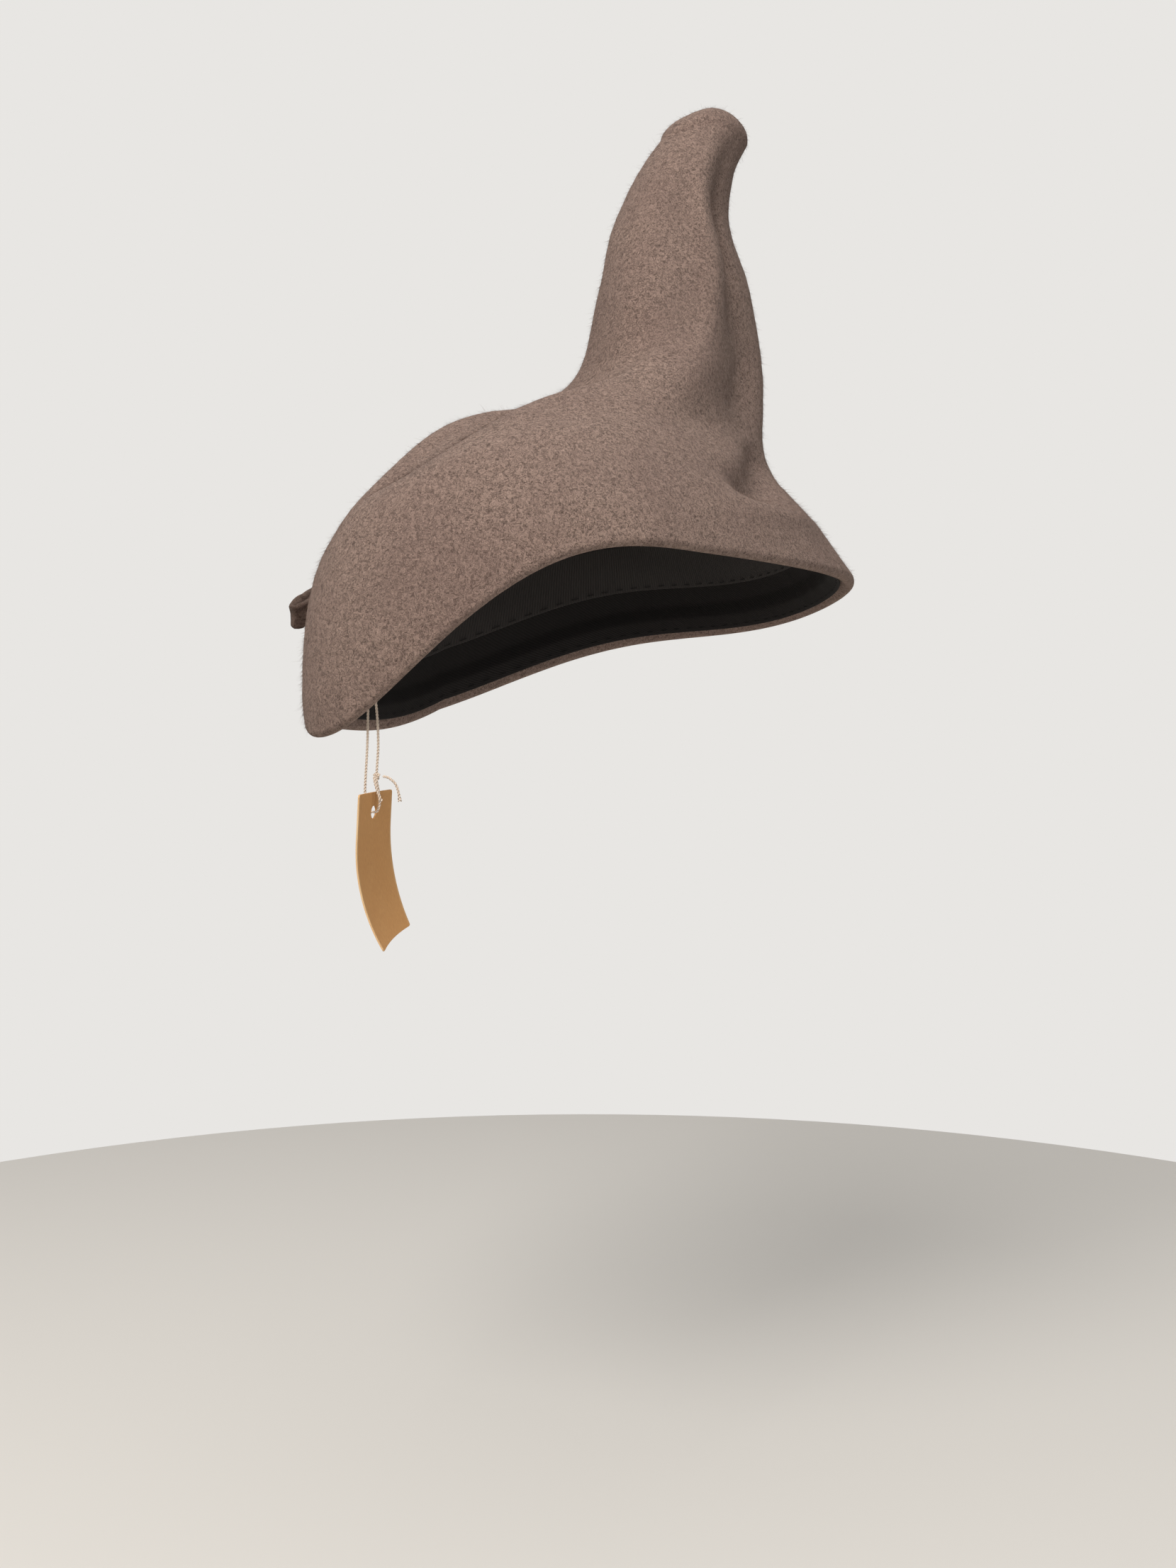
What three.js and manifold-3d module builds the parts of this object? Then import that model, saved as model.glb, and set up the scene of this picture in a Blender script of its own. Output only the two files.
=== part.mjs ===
// A sculpted fur-felt hat with one tall curved peak. Millimetres, +Z up, the hat's front towards -Y and the
// wearer's right towards -X. The origin is the centre of the head-size opening.
import * as THREE from 'three';
import { ParametricGeometry } from 'three/addons/geometries/ParametricGeometry.js';
import { mergeVertices } from 'three/addons/utils/BufferGeometryUtils.js';
import Module from 'manifold-3d';

const wasm = await Module();
wasm.setup();

// Overall sizes of the felt.
const HAT_LENGTH = 276;
const HAT_WIDTH = 172;
const PEAK_HEIGHT = 250; // from the origin to the top of the peak

// Felt, and the rim that is turned under over a wire.
const FELT = 2;
const TURNED_FELT = 1.3;
const TURNED_DEPTH = 10;
const WIRE_DIAMETER = 1;
const WIRE_CLEARANCE = 0.5;
const WIRE_HEIGHT = 2.6; // the wire's centre above the rim's lowest line
const JOINER_WALL = 0.15;

// Ribbon, lining and facing.
const CLEARANCE = 0.4;
const BAND_CLEARANCE = 0.9;
const RIBBON = 0.8;
const SWEATBAND_WIDTH = 24;
const SWEATBAND_START = 26; // up from the rim
const LINING = 0.7;
const LINING_CLEARANCE = 1.6; // the lining hangs a little loose of the felt
const FACING_START = 2.5;
const FACING_DEPTH = 26;
const FACING_CLEARANCE = 0.75;

const AROUND = 64;
const DEGREES = Math.PI / 180;

// The hood's rings from the rim to the root of the tip. Reaches to the front and back and the place of the
// widest point are percent of half the length, the width is percent of half the width, and the three heights
// (front, side, back) are percent of the peak's height.
const RINGS = [
  { front: 105, back: 91, width: 100, widest: 15, heights: [14.5, 12.5, -13.2] },
  { front: 95, back: 93, width: 95, widest: 16, heights: [19, 18, -7] },
  { front: 84.5, back: 92, width: 86, widest: 14, heights: [23.5, 24, 5] },
  { front: 72.5, back: 85, width: 73, widest: 10, heights: [30, 30, 17.5] },
  { front: 69, back: 71, width: 58, widest: 2, heights: [37, 35, 25.5] },
  { front: 71, back: 45, width: 47, widest: -12, heights: [44.5, 41, 34.5] },
  { front: 72, back: 16, width: 41, widest: -25, heights: [52, 47.5, 37] },
  { front: 70, back: -4, width: 37, widest: -34, heights: [60, 55, 44.5] },
  { front: 65, back: -9, width: 33, widest: -38, heights: [69, 66.5, 60] },
  { front: 58, back: -14, width: 26, widest: -37, heights: [78.5, 78, 73] },
  { front: 60.8, back: -23.5, width: 22, widest: -42, heights: [88, 87.5, 83.5] },
  { front: 66.8, back: -34, width: 19, widest: -50, heights: [94, 94, 92] },
];
const TIP_ROOT = RINGS.length - 1;
const TIP = TIP_ROOT + 1; // the surface's last parameter, at the pole of the tip
const TIP_LEAN = new THREE.Vector3(0, -0.2, 0.98);
const BACK_DROP = 3.2; // how late the rim falls away towards the back, as a power
const DROP_RINGS = 4; // rings above the rim over which that power fades to 2
const TIP_RISE = 14;
const STEP = 0.1; // of a ring, for directions and lengths along the surface
const WELD = 0.001; // points closer than this are one point

function spline(values, at) {
  const i = Math.min(Math.floor(at), values.length - 2);
  const t = at - i;
  const pick = (k) => values[Math.max(0, Math.min(values.length - 1, k))];
  const [a, b, c, d] = [pick(i - 1), pick(i), pick(i + 1), pick(i + 2)];
  return b + 0.5 * t * (c - a + t * (2 * a - 5 * b + 4 * c - d + t * (3 * (b - c) + d - a)));
}

const HALF_PERCENT = 1 / 200;
const PERCENT = 1 / 100;
const COLUMNS = {
  front: RINGS.map((ring) => -ring.front * HALF_PERCENT * HAT_LENGTH),
  back: RINGS.map((ring) => ring.back * HALF_PERCENT * HAT_LENGTH),
  width: RINGS.map((ring) => ring.width * HALF_PERCENT * HAT_WIDTH),
  widest: RINGS.map((ring) => ring.widest * HALF_PERCENT * HAT_LENGTH),
  zFront: RINGS.map((ring) => ring.heights[0] * PERCENT * PEAK_HEIGHT),
  zSide: RINGS.map((ring) => ring.heights[1] * PERCENT * PEAK_HEIGHT),
  zBack: RINGS.map((ring) => ring.heights[2] * PERCENT * PEAK_HEIGHT),
};

// A point of one ring. The angle is 0 at the front, 90 at the wearer's right and 180 at the back.
function ringPoint(at, angle) {
  const c = Math.cos(angle * DEGREES);
  const s = Math.sin(angle * DEGREES);
  const get = (name) => spline(COLUMNS[name], at);
  const end = c > 0 ? get('front') : get('back');
  const zEnd = c > 0 ? get('zFront') : get('zBack');
  const y = get('widest') + Math.abs(c) * (end - get('widest'));
  const power = 2 + (BACK_DROP - 2) * Math.max(0, 1 - at / DROP_RINGS);
  const fall = Math.abs(c) ** (c > 0 ? 2 : power);
  const z = get('zSide') + fall * (zEnd - get('zSide'));
  return new THREE.Vector3(-get('width') * s, y, z);
}

function ringCentre(at) {
  const sum = new THREE.Vector3();
  for (const angle of [0, 90, 180, 270]) sum.add(ringPoint(at, angle));
  return sum.multiplyScalar(0.25);
}

function near(value, centre, spread) {
  return Math.exp(-(((value - centre) / spread) ** 2));
}

function turn(angle, centre) {
  return ((angle - centre + 540) % 360) - 180;
}

// The folds that hands pressed into the felt, as moves of a point along one direction.
const FOLDS = [
  { at: 0, atSpread: 2.4, angle: 252, angleSpread: 46, move: [0, 0, -62] }, // the left side hangs lower
  { at: 0, atSpread: 1.6, angle: 335, angleSpread: 35, move: [0, 0, -13] }, // and so does the front left
  { at: 4.6, atSpread: 1.2, angle: 180, angleSpread: 26, move: [0, 0, -9] }, // valley behind the peak
  { at: 4.6, atSpread: 0.8, angle: 225, angleSpread: 22, move: [0, 0, 4.5] }, // far edge of that valley
  { at: 3.6, atSpread: 0.8, angle: 200, angleSpread: 12, move: [-1.5, -4.5, -10] }, // dent at the crown's back
  { at: 7, atSpread: 1.5, angle: 160, angleSpread: 32, move: [-10, 8, 1] }, // fuller foot of the peak
  { at: 6.4, atSpread: 1.4, angle: 122, angleSpread: 24, move: [-5, 4, 0] },
  { at: 6.8, atSpread: 1, angle: 205, angleSpread: 24, move: [2, 3, 1.5] },
  { at: 8, atSpread: 2.2, angle: 50, angleSpread: 24, move: [3.2, 2.4, 0] }, // hollow face of the peak
  { at: 8, atSpread: 1.8, angle: 70, angleSpread: 13, move: [6, 2, 0] },
  { at: 5.6, atSpread: 1.3, angle: 56, angleSpread: 12, move: [5, 3, 0] },
  { at: 8.2, atSpread: 1.7, angle: 99, angleSpread: 11, move: [-3.2, 1.4, 0] }, // ridge beside the hollow
  { at: 5.4, atSpread: 1.6, angle: 90, angleSpread: 18, move: [-8, 5, 0] },
  { at: 3.3, atSpread: 0.5, angle: 46, angleSpread: 9, move: [4, 5, -2] }, // pinch, upper end
  { at: 2.65, atSpread: 0.46, angle: 56, angleSpread: 8, move: [5.5, 4, -3] },
  { at: 2.1, atSpread: 0.46, angle: 65, angleSpread: 9, move: [7.5, 3, -4] }, // pinch, deep end
  { at: 1.5, atSpread: 0.5, angle: 60, angleSpread: 14, move: [-2, -1.5, 1.5] }, // swelling below it
];

function hood(at, angle) {
  const base = Math.min(at, TIP_ROOT);
  const point = ringPoint(base, angle);
  if (at > TIP_ROOT) {
    const bend = (at - TIP_ROOT) * Math.PI / 2;
    const centre = ringCentre(TIP_ROOT);
    point.sub(centre).multiplyScalar(Math.cos(bend)).add(centre);
    point.addScaledVector(TIP_LEAN, TIP_RISE * Math.sin(bend));
  }
  const fade = Math.min(1, (TIP - at) / 2); // no fold reaches the pole of the tip
  for (const fold of FOLDS) {
    const strength = near(at, fold.at, fold.atSpread) * near(turn(angle, fold.angle), 0, fold.angleSpread);
    point.addScaledVector(new THREE.Vector3(...fold.move), fade * strength);
  }
  return point;
}

function outward(at, angle) {
  const small = STEP / 5;
  const low = Math.min(Math.max(at, small), TIP - 2 * small);
  const along = hood(low + small, angle).sub(hood(low - small, angle));
  const around = hood(low, angle + 1).sub(hood(low, angle - 1));
  return along.cross(around).normalize();
}

// A point under the felt's outer surface, depth millimetres in.
function under(at, angle, depth) {
  if (at > TIP - WELD) {
    return hood(at, angle).addScaledVector(TIP_LEAN, -depth);
  }
  return hood(at, angle).addScaledVector(outward(at, angle), -depth);
}

// The ring parameter that lies height millimetres up the felt from the rim.
function up(height, angle) {
  let at = 0;
  let left = height;
  let point = hood(0, angle);
  while (at < TIP_ROOT) {
    const next = hood(at + STEP, angle);
    const length = next.distanceTo(point);
    if (length >= left) return at + STEP * left / length;
    left -= length;
    at += STEP;
    point = next;
  }
  return at;
}

// A closed body from one section at each angle round the hat. The section's ends are either both on the
// peak's middle line or meet, so that the body closes.
function sweptRound(section, slices = AROUND) {
  const sections = [];
  for (let i = 0; i <= slices; i++) sections.push(section((i % slices) * 360 / slices));
  const stacks = sections[0].length - 1;
  const geometry = new ParametricGeometry((v, u, target) => {
    target.copy(sections[Math.round(u * slices)][Math.round(v * stacks)]);
  }, stacks, slices);
  return cleaned(geometry);
}

function cleaned(geometry) {
  geometry.deleteAttribute('normal');
  geometry.deleteAttribute('uv');
  const merged = mergeVertices(geometry, WELD);
  const kept = [];
  const index = merged.getIndex().array;
  for (let i = 0; i < index.length; i += 3) {
    const [a, b, c] = [index[i], index[i + 1], index[i + 2]];
    if (a !== b && b !== c && c !== a) kept.push(a, b, c);
  }
  merged.setIndex(kept);
  if (volume(merged) < 0) {
    for (let i = 0; i < kept.length; i += 3) [kept[i], kept[i + 1]] = [kept[i + 1], kept[i]];
    merged.setIndex(kept);
  }
  merged.computeVertexNormals();
  return merged;
}

function volume(geometry) {
  const position = geometry.getAttribute('position');
  const index = geometry.getIndex().array;
  const [a, b, c] = [new THREE.Vector3(), new THREE.Vector3(), new THREE.Vector3()];
  let sum = 0;
  for (let i = 0; i < index.length; i += 3) {
    a.fromBufferAttribute(position, index[i]);
    b.fromBufferAttribute(position, index[i + 1]);
    c.fromBufferAttribute(position, index[i + 2]);
    sum += a.dot(b.cross(c)) / 6;
  }
  return sum;
}

const SLOT = WIRE_DIAMETER + 2 * WIRE_CLEARANCE;
const RIM_THICKNESS = FELT + SLOT + TURNED_FELT;
const BODY_ROWS = 33;
const TIP_ROWS = 4;
const ROWS = BODY_ROWS + TIP_ROWS;

// The surface's parameter at one row, counted from the pole of the tip down to the rim.
function rowAt(row) {
  return row < TIP_ROWS ? TIP - row / TIP_ROWS : TIP_ROOT * (ROWS - row) / BODY_ROWS;
}

const EDGE_BENDS = [36, 72, 108, 144]; // degrees round the rim's rolled edge
function hoodSection(angle) {
  const points = [];
  for (let i = 0; i <= ROWS; i++) points.push(hood(rowAt(i), angle));
  const outer = hood(0, angle);
  const inner = under(0, angle, RIM_THICKNESS);
  const middle = outer.clone().lerp(inner, 0.5);
  const down = hood(0, angle).sub(hood(STEP, angle)).normalize();
  for (const bend of EDGE_BENDS) {
    const across = outer.clone().sub(middle).multiplyScalar(Math.cos(bend * DEGREES));
    const lower = RIM_THICKNESS / 2 * Math.sin(bend * DEGREES);
    points.push(middle.clone().add(across).addScaledVector(down, lower));
  }
  const hem = up(TURNED_DEPTH, angle);
  points.push(inner, under(hem, angle, RIM_THICKNESS), under(hem, angle, RIM_THICKNESS - TURNED_FELT));
  const floor = up(WIRE_HEIGHT - SLOT / 2, angle);
  points.push(under(floor, angle, RIM_THICKNESS - TURNED_FELT), under(floor, angle, FELT));
  for (let i = ROWS - 1; i >= 0; i--) points.push(under(Math.max(rowAt(i), floor + STEP / 2), angle, FELT));
  return points;
}

// A ribbon round the inside of the hat, between two heights up from the rim. The depth of its outer face
// is a function of the height.
const RIBBON_ROWS = 8;
function ribbonSection(angle, low, high, depthAt, thickness) {
  const outer = [];
  const inner = [];
  for (let i = 0; i <= RIBBON_ROWS; i++) {
    const height = low + (high - low) * i / RIBBON_ROWS;
    const at = up(height, angle);
    outer.push(under(at, angle, depthAt(height)));
    inner.push(under(at, angle, depthAt(height) + thickness));
  }
  return [...outer, ...inner.reverse(), outer[0]];
}

const HEM_LAP = 1; // the facing stays out this far past the hem, then steps in to the felt
const HEM_STEP = 5;
function facingDepth(height) {
  const past = Math.min(Math.max((height - TURNED_DEPTH - HEM_LAP) / HEM_STEP, 0), 1);
  return FACING_CLEARANCE + RIM_THICKNESS + past * (FELT - RIM_THICKNESS);
}
const FACING_END = FACING_START + FACING_DEPTH;
const LINING_DEPTH = FELT + LINING_CLEARANCE;
const BAND_DEPTH = LINING_DEPTH + LINING + BAND_CLEARANCE;

function facingSection(angle) {
  return ribbonSection(angle, FACING_START, FACING_END, facingDepth, RIBBON);
}

function bandSection(angle) {
  const end = SWEATBAND_START + SWEATBAND_WIDTH;
  return ribbonSection(angle, SWEATBAND_START, end, () => BAND_DEPTH, RIBBON);
}

// The lining's side band runs from behind the sweatband to the root of the peak, where its tip closes it.
const LINING_LAP = 3;
const LINING_TOP = 4.6;
const LINING_ROWS = 9;
function liningSection(angle) {
  const start = up(FACING_END + LINING_LAP, angle);
  const outer = [];
  const inner = [];
  for (let i = 0; i <= LINING_ROWS; i++) {
    const at = start + (LINING_TOP - start) * i / LINING_ROWS;
    outer.push(under(at, angle, LINING_DEPTH));
    inner.push(under(at, angle, LINING_DEPTH + LINING));
  }
  return [...outer, ...inner.reverse(), outer[0]];
}

const TIP_SHARES = [0, 0.35, 0.7, 1]; // from the middle of the lining's tip to its edge
function liningTipSection(angle) {
  const edge = under(LINING_TOP - STEP / 2, angle, LINING_DEPTH + LINING + CLEARANCE);
  const centre = ringCentre(LINING_TOP);
  const points = TIP_SHARES.map((share) => centre.clone().lerp(edge, share));
  const lower = points.map((p) => p.clone().add(new THREE.Vector3(0, 0, -LINING)));
  return [...points, ...lower.reverse()];
}

// The wire lies in the turned edge; its joiner covers the two ends at the back.
const WIRE_GAP = 6; // degrees left open, where the joiner's sleeve holds the two ends
const JOINER_GAP = 0.4; // degrees between the wire's end and the sleeve
const JOINER_STEPS = 4;
const WIRE_SIDES = 6;
const WIRE_STEPS = 72;
const WIRE_DEPTH = FELT + SLOT / 2;
function wirePath(from, to, steps) {
  const points = [];
  for (let i = 0; i <= steps; i++) {
    const angle = from + (to - from) * i / steps;
    points.push(under(up(WIRE_HEIGHT, angle), angle, WIRE_DEPTH));
  }
  return new THREE.CatmullRomCurve3(points);
}

function circle(radius, sides) {
  const points = [];
  for (let i = 0; i < sides; i++) {
    const angle = (i + 0.5) * 2 * Math.PI / sides;
    points.push(new THREE.Vector2(radius * Math.cos(angle), radius * Math.sin(angle)));
  }
  return new THREE.Shape(points);
}

function tube(path, radius, steps, sides = 8) {
  return cleaned(new THREE.ExtrudeGeometry(circle(radius, sides), { extrudePath: path, steps }));
}

function solid(geometry) {
  const merged = cleaned(geometry);
  const vertProperties = new Float32Array(merged.getAttribute('position').array);
  const triVerts = new Uint32Array(merged.getIndex().array);
  return new wasm.Manifold(new wasm.Mesh({ numProp: 3, vertProperties, triVerts }));
}

function fromSolid(made) {
  const mesh = made.getMesh();
  const geometry = new THREE.BufferGeometry();
  geometry.setAttribute('position', new THREE.BufferAttribute(mesh.vertProperties, 3));
  geometry.setIndex(Array.from(mesh.triVerts));
  geometry.computeVertexNormals();
  return geometry;
}

const object = new THREE.Group();
function add(name, geometry, color, roughness, metalness = 0) {
  const mesh = new THREE.Mesh(geometry, new THREE.MeshStandardMaterial({ color, roughness, metalness }));
  mesh.name = name;
  object.add(mesh);
  return mesh;
}

const COLOURS = { felt: 0x8a7366, steel: 0x9a9a9c, facing: 0x1d1512, ribbon: 0x2a1f1a, lining: 0x241b17,
  trim: 0x6b594e, thread: 0xd8c9ba, card: 0xa97a45 };

add('felt_hood', sweptRound(hoodSection), COLOURS.felt, 0.95);
add('rim_facing', sweptRound(facingSection), COLOURS.facing, 0.9);
add('sweatband', sweptRound(bandSection), COLOURS.ribbon, 0.7);
add('crown_lining', sweptRound(liningSection), COLOURS.lining, 0.45);
add('lining_tip', sweptRound(liningTipSection), COLOURS.lining, 0.45);
const wire = wirePath(180 + WIRE_GAP / 2, 540 - WIRE_GAP / 2, WIRE_STEPS);
add('rim_wire', tube(wire, WIRE_DIAMETER / 2, WIRE_STEPS, WIRE_SIDES), COLOURS.steel, 0.4, 1);
const sleeve = WIRE_GAP / 2 - JOINER_GAP;
const joint = tube(wirePath(180 - sleeve, 180 + sleeve, JOINER_STEPS), WIRE_DIAMETER / 2 + JOINER_WALL,
  JOINER_STEPS, WIRE_SIDES);
add('wire_joiner', joint, COLOURS.steel, 0.4, 1);

// The tag's thread hangs from a bar of stitches on the facing, a little to the right of the middle of the back.
const ANCHOR_ANGLE = 168;
const ANCHOR_HEIGHT = 12;
const BAR_STANDOFF = 2;
const THREAD = 1;
const TURN = new THREE.Vector3(-0.814, -0.58, 0).normalize(); // the way that the tag's face looks
const SIDE = new THREE.Vector3(0, 0, 1).cross(TURN);
const barDepth = facingDepth(ANCHOR_HEIGHT) + RIBBON + BAR_STANDOFF;
const anchor = under(up(ANCHOR_HEIGHT, ANCHOR_ANGLE), ANCHOR_ANGLE, barDepth);
function fromAnchor(turned, aside, height) {
  return anchor.clone().addScaledVector(TURN, turned).addScaledVector(SIDE, aside)
    .add(new THREE.Vector3(0, 0, height));
}

const BAR_LENGTH = 7;
const BAR_THICKNESS = 1.6;
const bar = new THREE.CapsuleGeometry(BAR_THICKNESS / 2, BAR_LENGTH, 3, 8);
bar.rotateZ(Math.PI / 2);
bar.rotateZ(Math.atan2(TURN.y, TURN.x));
bar.translate(anchor.x, anchor.y, anchor.z);
add('thread_anchor', cleaned(bar), COLOURS.thread, 0.9);

const LOOP = [[-0.9, 0, -1.7], [-1.3, 2.2, -8], [-2, 4, -16], [-2.4, 4.2, -28], [-3.2, 4.1, -43],
  [-2.9, 4, -49], [-1.7, 4, -51.6], [0, 4, -52], [1.7, 4, -51.6], [2.7, 4, -48.5], [2.2, 4, -44],
  [1.4, 4.1, -38.7], [2, 4.2, -27], [1.7, 3.8, -16], [1.3, 2.2, -8], [0.9, 0, -1.7]];
const LOOP_STEPS = 44;
const loop = new THREE.CatmullRomCurve3(LOOP.map((p) => fromAnchor(...p)));
add('thread_loop', tube(loop, THREAD / 2, LOOP_STEPS), COLOURS.thread, 0.9);

const KNOT = [1.4, 4.1, -38.7];
const KNOT_RADIUS = 0.7;
const KNOT_GAP = 0.3;
const knot = new THREE.TorusGeometry(THREAD / 2 + KNOT_GAP + KNOT_RADIUS, KNOT_RADIUS, 6, 12);
knot.translate(...fromAnchor(...KNOT).toArray());
add('thread_knot', cleaned(knot), COLOURS.thread, 0.9);

const TAILS = {
  thread_tail_short: [[1.6, 1.2, -38.7], [2.2, 0.6, -41], [3.2, 0.7, -44.5], [4.4, 1.1, -48]],
  thread_tail_long: [[3.9, 4.1, -38.7], [6, 4.5, -39.3], [8.4, 5, -41.4], [9.6, 5.2, -44.5], [10.2, 5.2, -48]],
};
for (const [name, points] of Object.entries(TAILS)) {
  const path = new THREE.CatmullRomCurve3(points.map((p) => fromAnchor(...p)));
  add(name, tube(path, THREAD / 2, 6), COLOURS.thread, 0.9);
}

// The tag hangs from the thread by its hole and is curled along its length.
const TAG_LENGTH = 56;
const TAG_WIDTH = 31;
const CARD = 0.6;
const HOLE_DIAMETER = 5;
const HOLE_FROM_TOP = 7.5;
const CURL_RADIUS = 74;
const CURL_STEPS = 10;
const STRAIGHT = 16; // the card is flat round the hole
const HOLE = [0, 4, -52];
const TAG_TILT = 5; // degrees round the hole
const TAG_LEAN = 5; // degrees off plumb, because the curled card balances below its hole

function curledEdge(offset) {
  const bendStart = HOLE_FROM_TOP - STRAIGHT;
  const points = [new THREE.Vector2(offset, HOLE_FROM_TOP), new THREE.Vector2(offset, bendStart)];
  const bend = (TAG_LENGTH - STRAIGHT) / CURL_RADIUS;
  const radius = CURL_RADIUS - offset;
  for (let i = 1; i <= CURL_STEPS; i++) {
    const angle = bend * i / CURL_STEPS;
    const x = CURL_RADIUS - radius * Math.cos(angle);
    points.push(new THREE.Vector2(x, bendStart - radius * Math.sin(angle)));
  }
  return points;
}

function placedTag() {
  const outline = new THREE.Shape([...curledEdge(-CARD / 2), ...curledEdge(CARD / 2).reverse()]);
  const card = new THREE.ExtrudeGeometry(outline, { depth: TAG_WIDTH, bevelEnabled: false, steps: 1 });
  card.translate(0, 0, -TAG_WIDTH / 2);
  const drill = new THREE.CylinderGeometry(HOLE_DIAMETER / 2, HOLE_DIAMETER / 2, CURL_RADIUS, 16);
  drill.rotateZ(Math.PI / 2);
  const tag = solid(card).subtract(solid(drill));
  const geometry = fromSolid(tag);
  // the flat card's x is its thickness, y its length and z its width
  const place = new THREE.Matrix4().makeBasis(TURN, new THREE.Vector3(0, 0, 1), SIDE.clone().negate());
  geometry.rotateX(TAG_TILT * DEGREES).rotateZ(-TAG_LEAN * DEGREES);
  geometry.applyMatrix4(place);
  geometry.translate(...fromAnchor(...HOLE).toArray());
  return geometry;
}
add('tag', placedTag(), COLOURS.card, 0.85);

// The bow on the back of the left side: two flat loops, a knot over them and two tails below it.
const BOW_ANGLE = 241;
const BOW_HEIGHT = 62;
const BOW_RIBBON = 11;
const BOW_THICKNESS = 3;
const LOOP_LENGTH = 33;
const LOOP_BELLY = 13;
const KNOT_WIDTH = 12;
const TAIL_LENGTH = 24;
const TAIL_TOP = 6;
const TAIL_END = 13;
const TAIL_NOTCH = 4.5;
const TAIL_SPREAD = 16;
const KNOT_HEIGHT = 14;
const KNOT_DEPTH = 15;
const KNOT_ROUND = 3;
const BOW_SPAN = 40; // degrees either side of the bow in which the felt can reach it
const BOW_GAP = 0.6;
const BOW_TILT = 4; // degrees that each loop droops
const BOW_SLOPE = 30; // degrees that the bow falls to the rear, along the rim

// How far the felt behind the bow stands out past the bow's origin, so that the bow can sit just clear of it.
function feltBehind(frame) {
  const inverse = frame.clone().invert();
  const half = KNOT_WIDTH / 2 + 1.1 * LOOP_LENGTH;
  const drop = KNOT_HEIGHT / 2 + BOW_GAP + TAIL_LENGTH;
  let reach = 0;
  for (let at = 0; at < TIP_ROOT / 2; at += STEP) {
    for (let angle = BOW_ANGLE - BOW_SPAN; angle <= BOW_ANGLE + BOW_SPAN; angle += 2) {
      const local = hood(at, angle).applyMatrix4(inverse);
      const behind = Math.abs(local.x) < half && local.z > -drop && local.z < KNOT_HEIGHT;
      if (behind) reach = Math.max(reach, local.y);
    }
  }
  return reach;
}

function bowFrame() {
  const at = up(BOW_HEIGHT, BOW_ANGLE);
  const out = outward(at, BOW_ANGLE);
  const upright = new THREE.Vector3(0, 0, 1).projectOnPlane(out).normalize();
  const upward = upright.applyAxisAngle(out, -BOW_SLOPE * DEGREES);
  const along = upward.clone().cross(out);
  const origin = hood(at, BOW_ANGLE);
  const frame = new THREE.Matrix4().makeBasis(along, out, upward).setPosition(origin);
  return frame.setPosition(origin.addScaledVector(out, feltBehind(frame) + BOW_GAP));
}

// The side of a loop, as shares of its length and belly. Before it is placed, x runs along the rim to the
// rear, y away from the hat and z up.
function teardrop(length, belly) {
  const shape = new THREE.Shape();
  shape.moveTo(0, belly * 0.28);
  shape.bezierCurveTo(length * 0.35, 0, length * 0.6, -belly * 0.12, length * 0.85, 0);
  shape.bezierCurveTo(length * 1.06, belly * 0.2, length * 1.06, belly * 0.75, length * 0.85, belly);
  shape.bezierCurveTo(length * 0.6, belly * 1.15, length * 0.35, belly, 0, belly * 0.72);
  return shape;
}

const LOOP_STATIONS = [0.2, 0.45, 0.8, 0.92]; // root, waist, bend and end of the loop's hollow
function bowLoop(side) {
  const outline = teardrop(LOOP_LENGTH, LOOP_BELLY);
  const hole = new THREE.Path();
  const [root, waist, bend, end] = LOOP_STATIONS.map((share) => share * LOOP_LENGTH);
  const [low, high] = [BOW_THICKNESS, LOOP_BELLY - BOW_THICKNESS];
  hole.moveTo(root, LOOP_BELLY / 2);
  hole.quadraticCurveTo(waist, low + BOW_GAP, bend, low);
  hole.quadraticCurveTo(end, LOOP_BELLY / 2, bend, high);
  hole.quadraticCurveTo(waist, high - BOW_GAP, root, LOOP_BELLY / 2);
  outline.holes.push(hole);
  const cut = { depth: BOW_RIBBON, bevelEnabled: false, curveSegments: 6 };
  const geometry = new THREE.ExtrudeGeometry(outline, cut);
  const tilt = BOW_TILT * DEGREES;
  geometry.translate(0, 0, -BOW_RIBBON / 2).rotateY(tilt);
  geometry.translate(KNOT_WIDTH / 2 + BOW_GAP + BOW_RIBBON / 2 * Math.sin(tilt), 0, 0);
  if (side < 0) geometry.rotateZ(Math.PI).translate(0, LOOP_BELLY, 0);
  return geometry;
}

function bowTail(side) {
  const shape = new THREE.Shape();
  shape.moveTo(-TAIL_TOP / 2, 0);
  shape.lineTo(-TAIL_END / 2, -TAIL_LENGTH);
  shape.lineTo(0, -TAIL_LENGTH + TAIL_NOTCH);
  shape.lineTo(TAIL_END / 2, -TAIL_LENGTH);
  shape.lineTo(TAIL_TOP / 2, 0);
  const geometry = new THREE.ExtrudeGeometry(shape, { depth: BOW_THICKNESS, bevelEnabled: false });
  geometry.rotateX(Math.PI / 2);
  geometry.rotateY(-side * TAIL_SPREAD * DEGREES);
  geometry.translate(side * (TAIL_TOP / 2 + BOW_GAP), LOOP_BELLY / 2, -KNOT_HEIGHT / 2 - BOW_GAP);
  return geometry;
}

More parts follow.
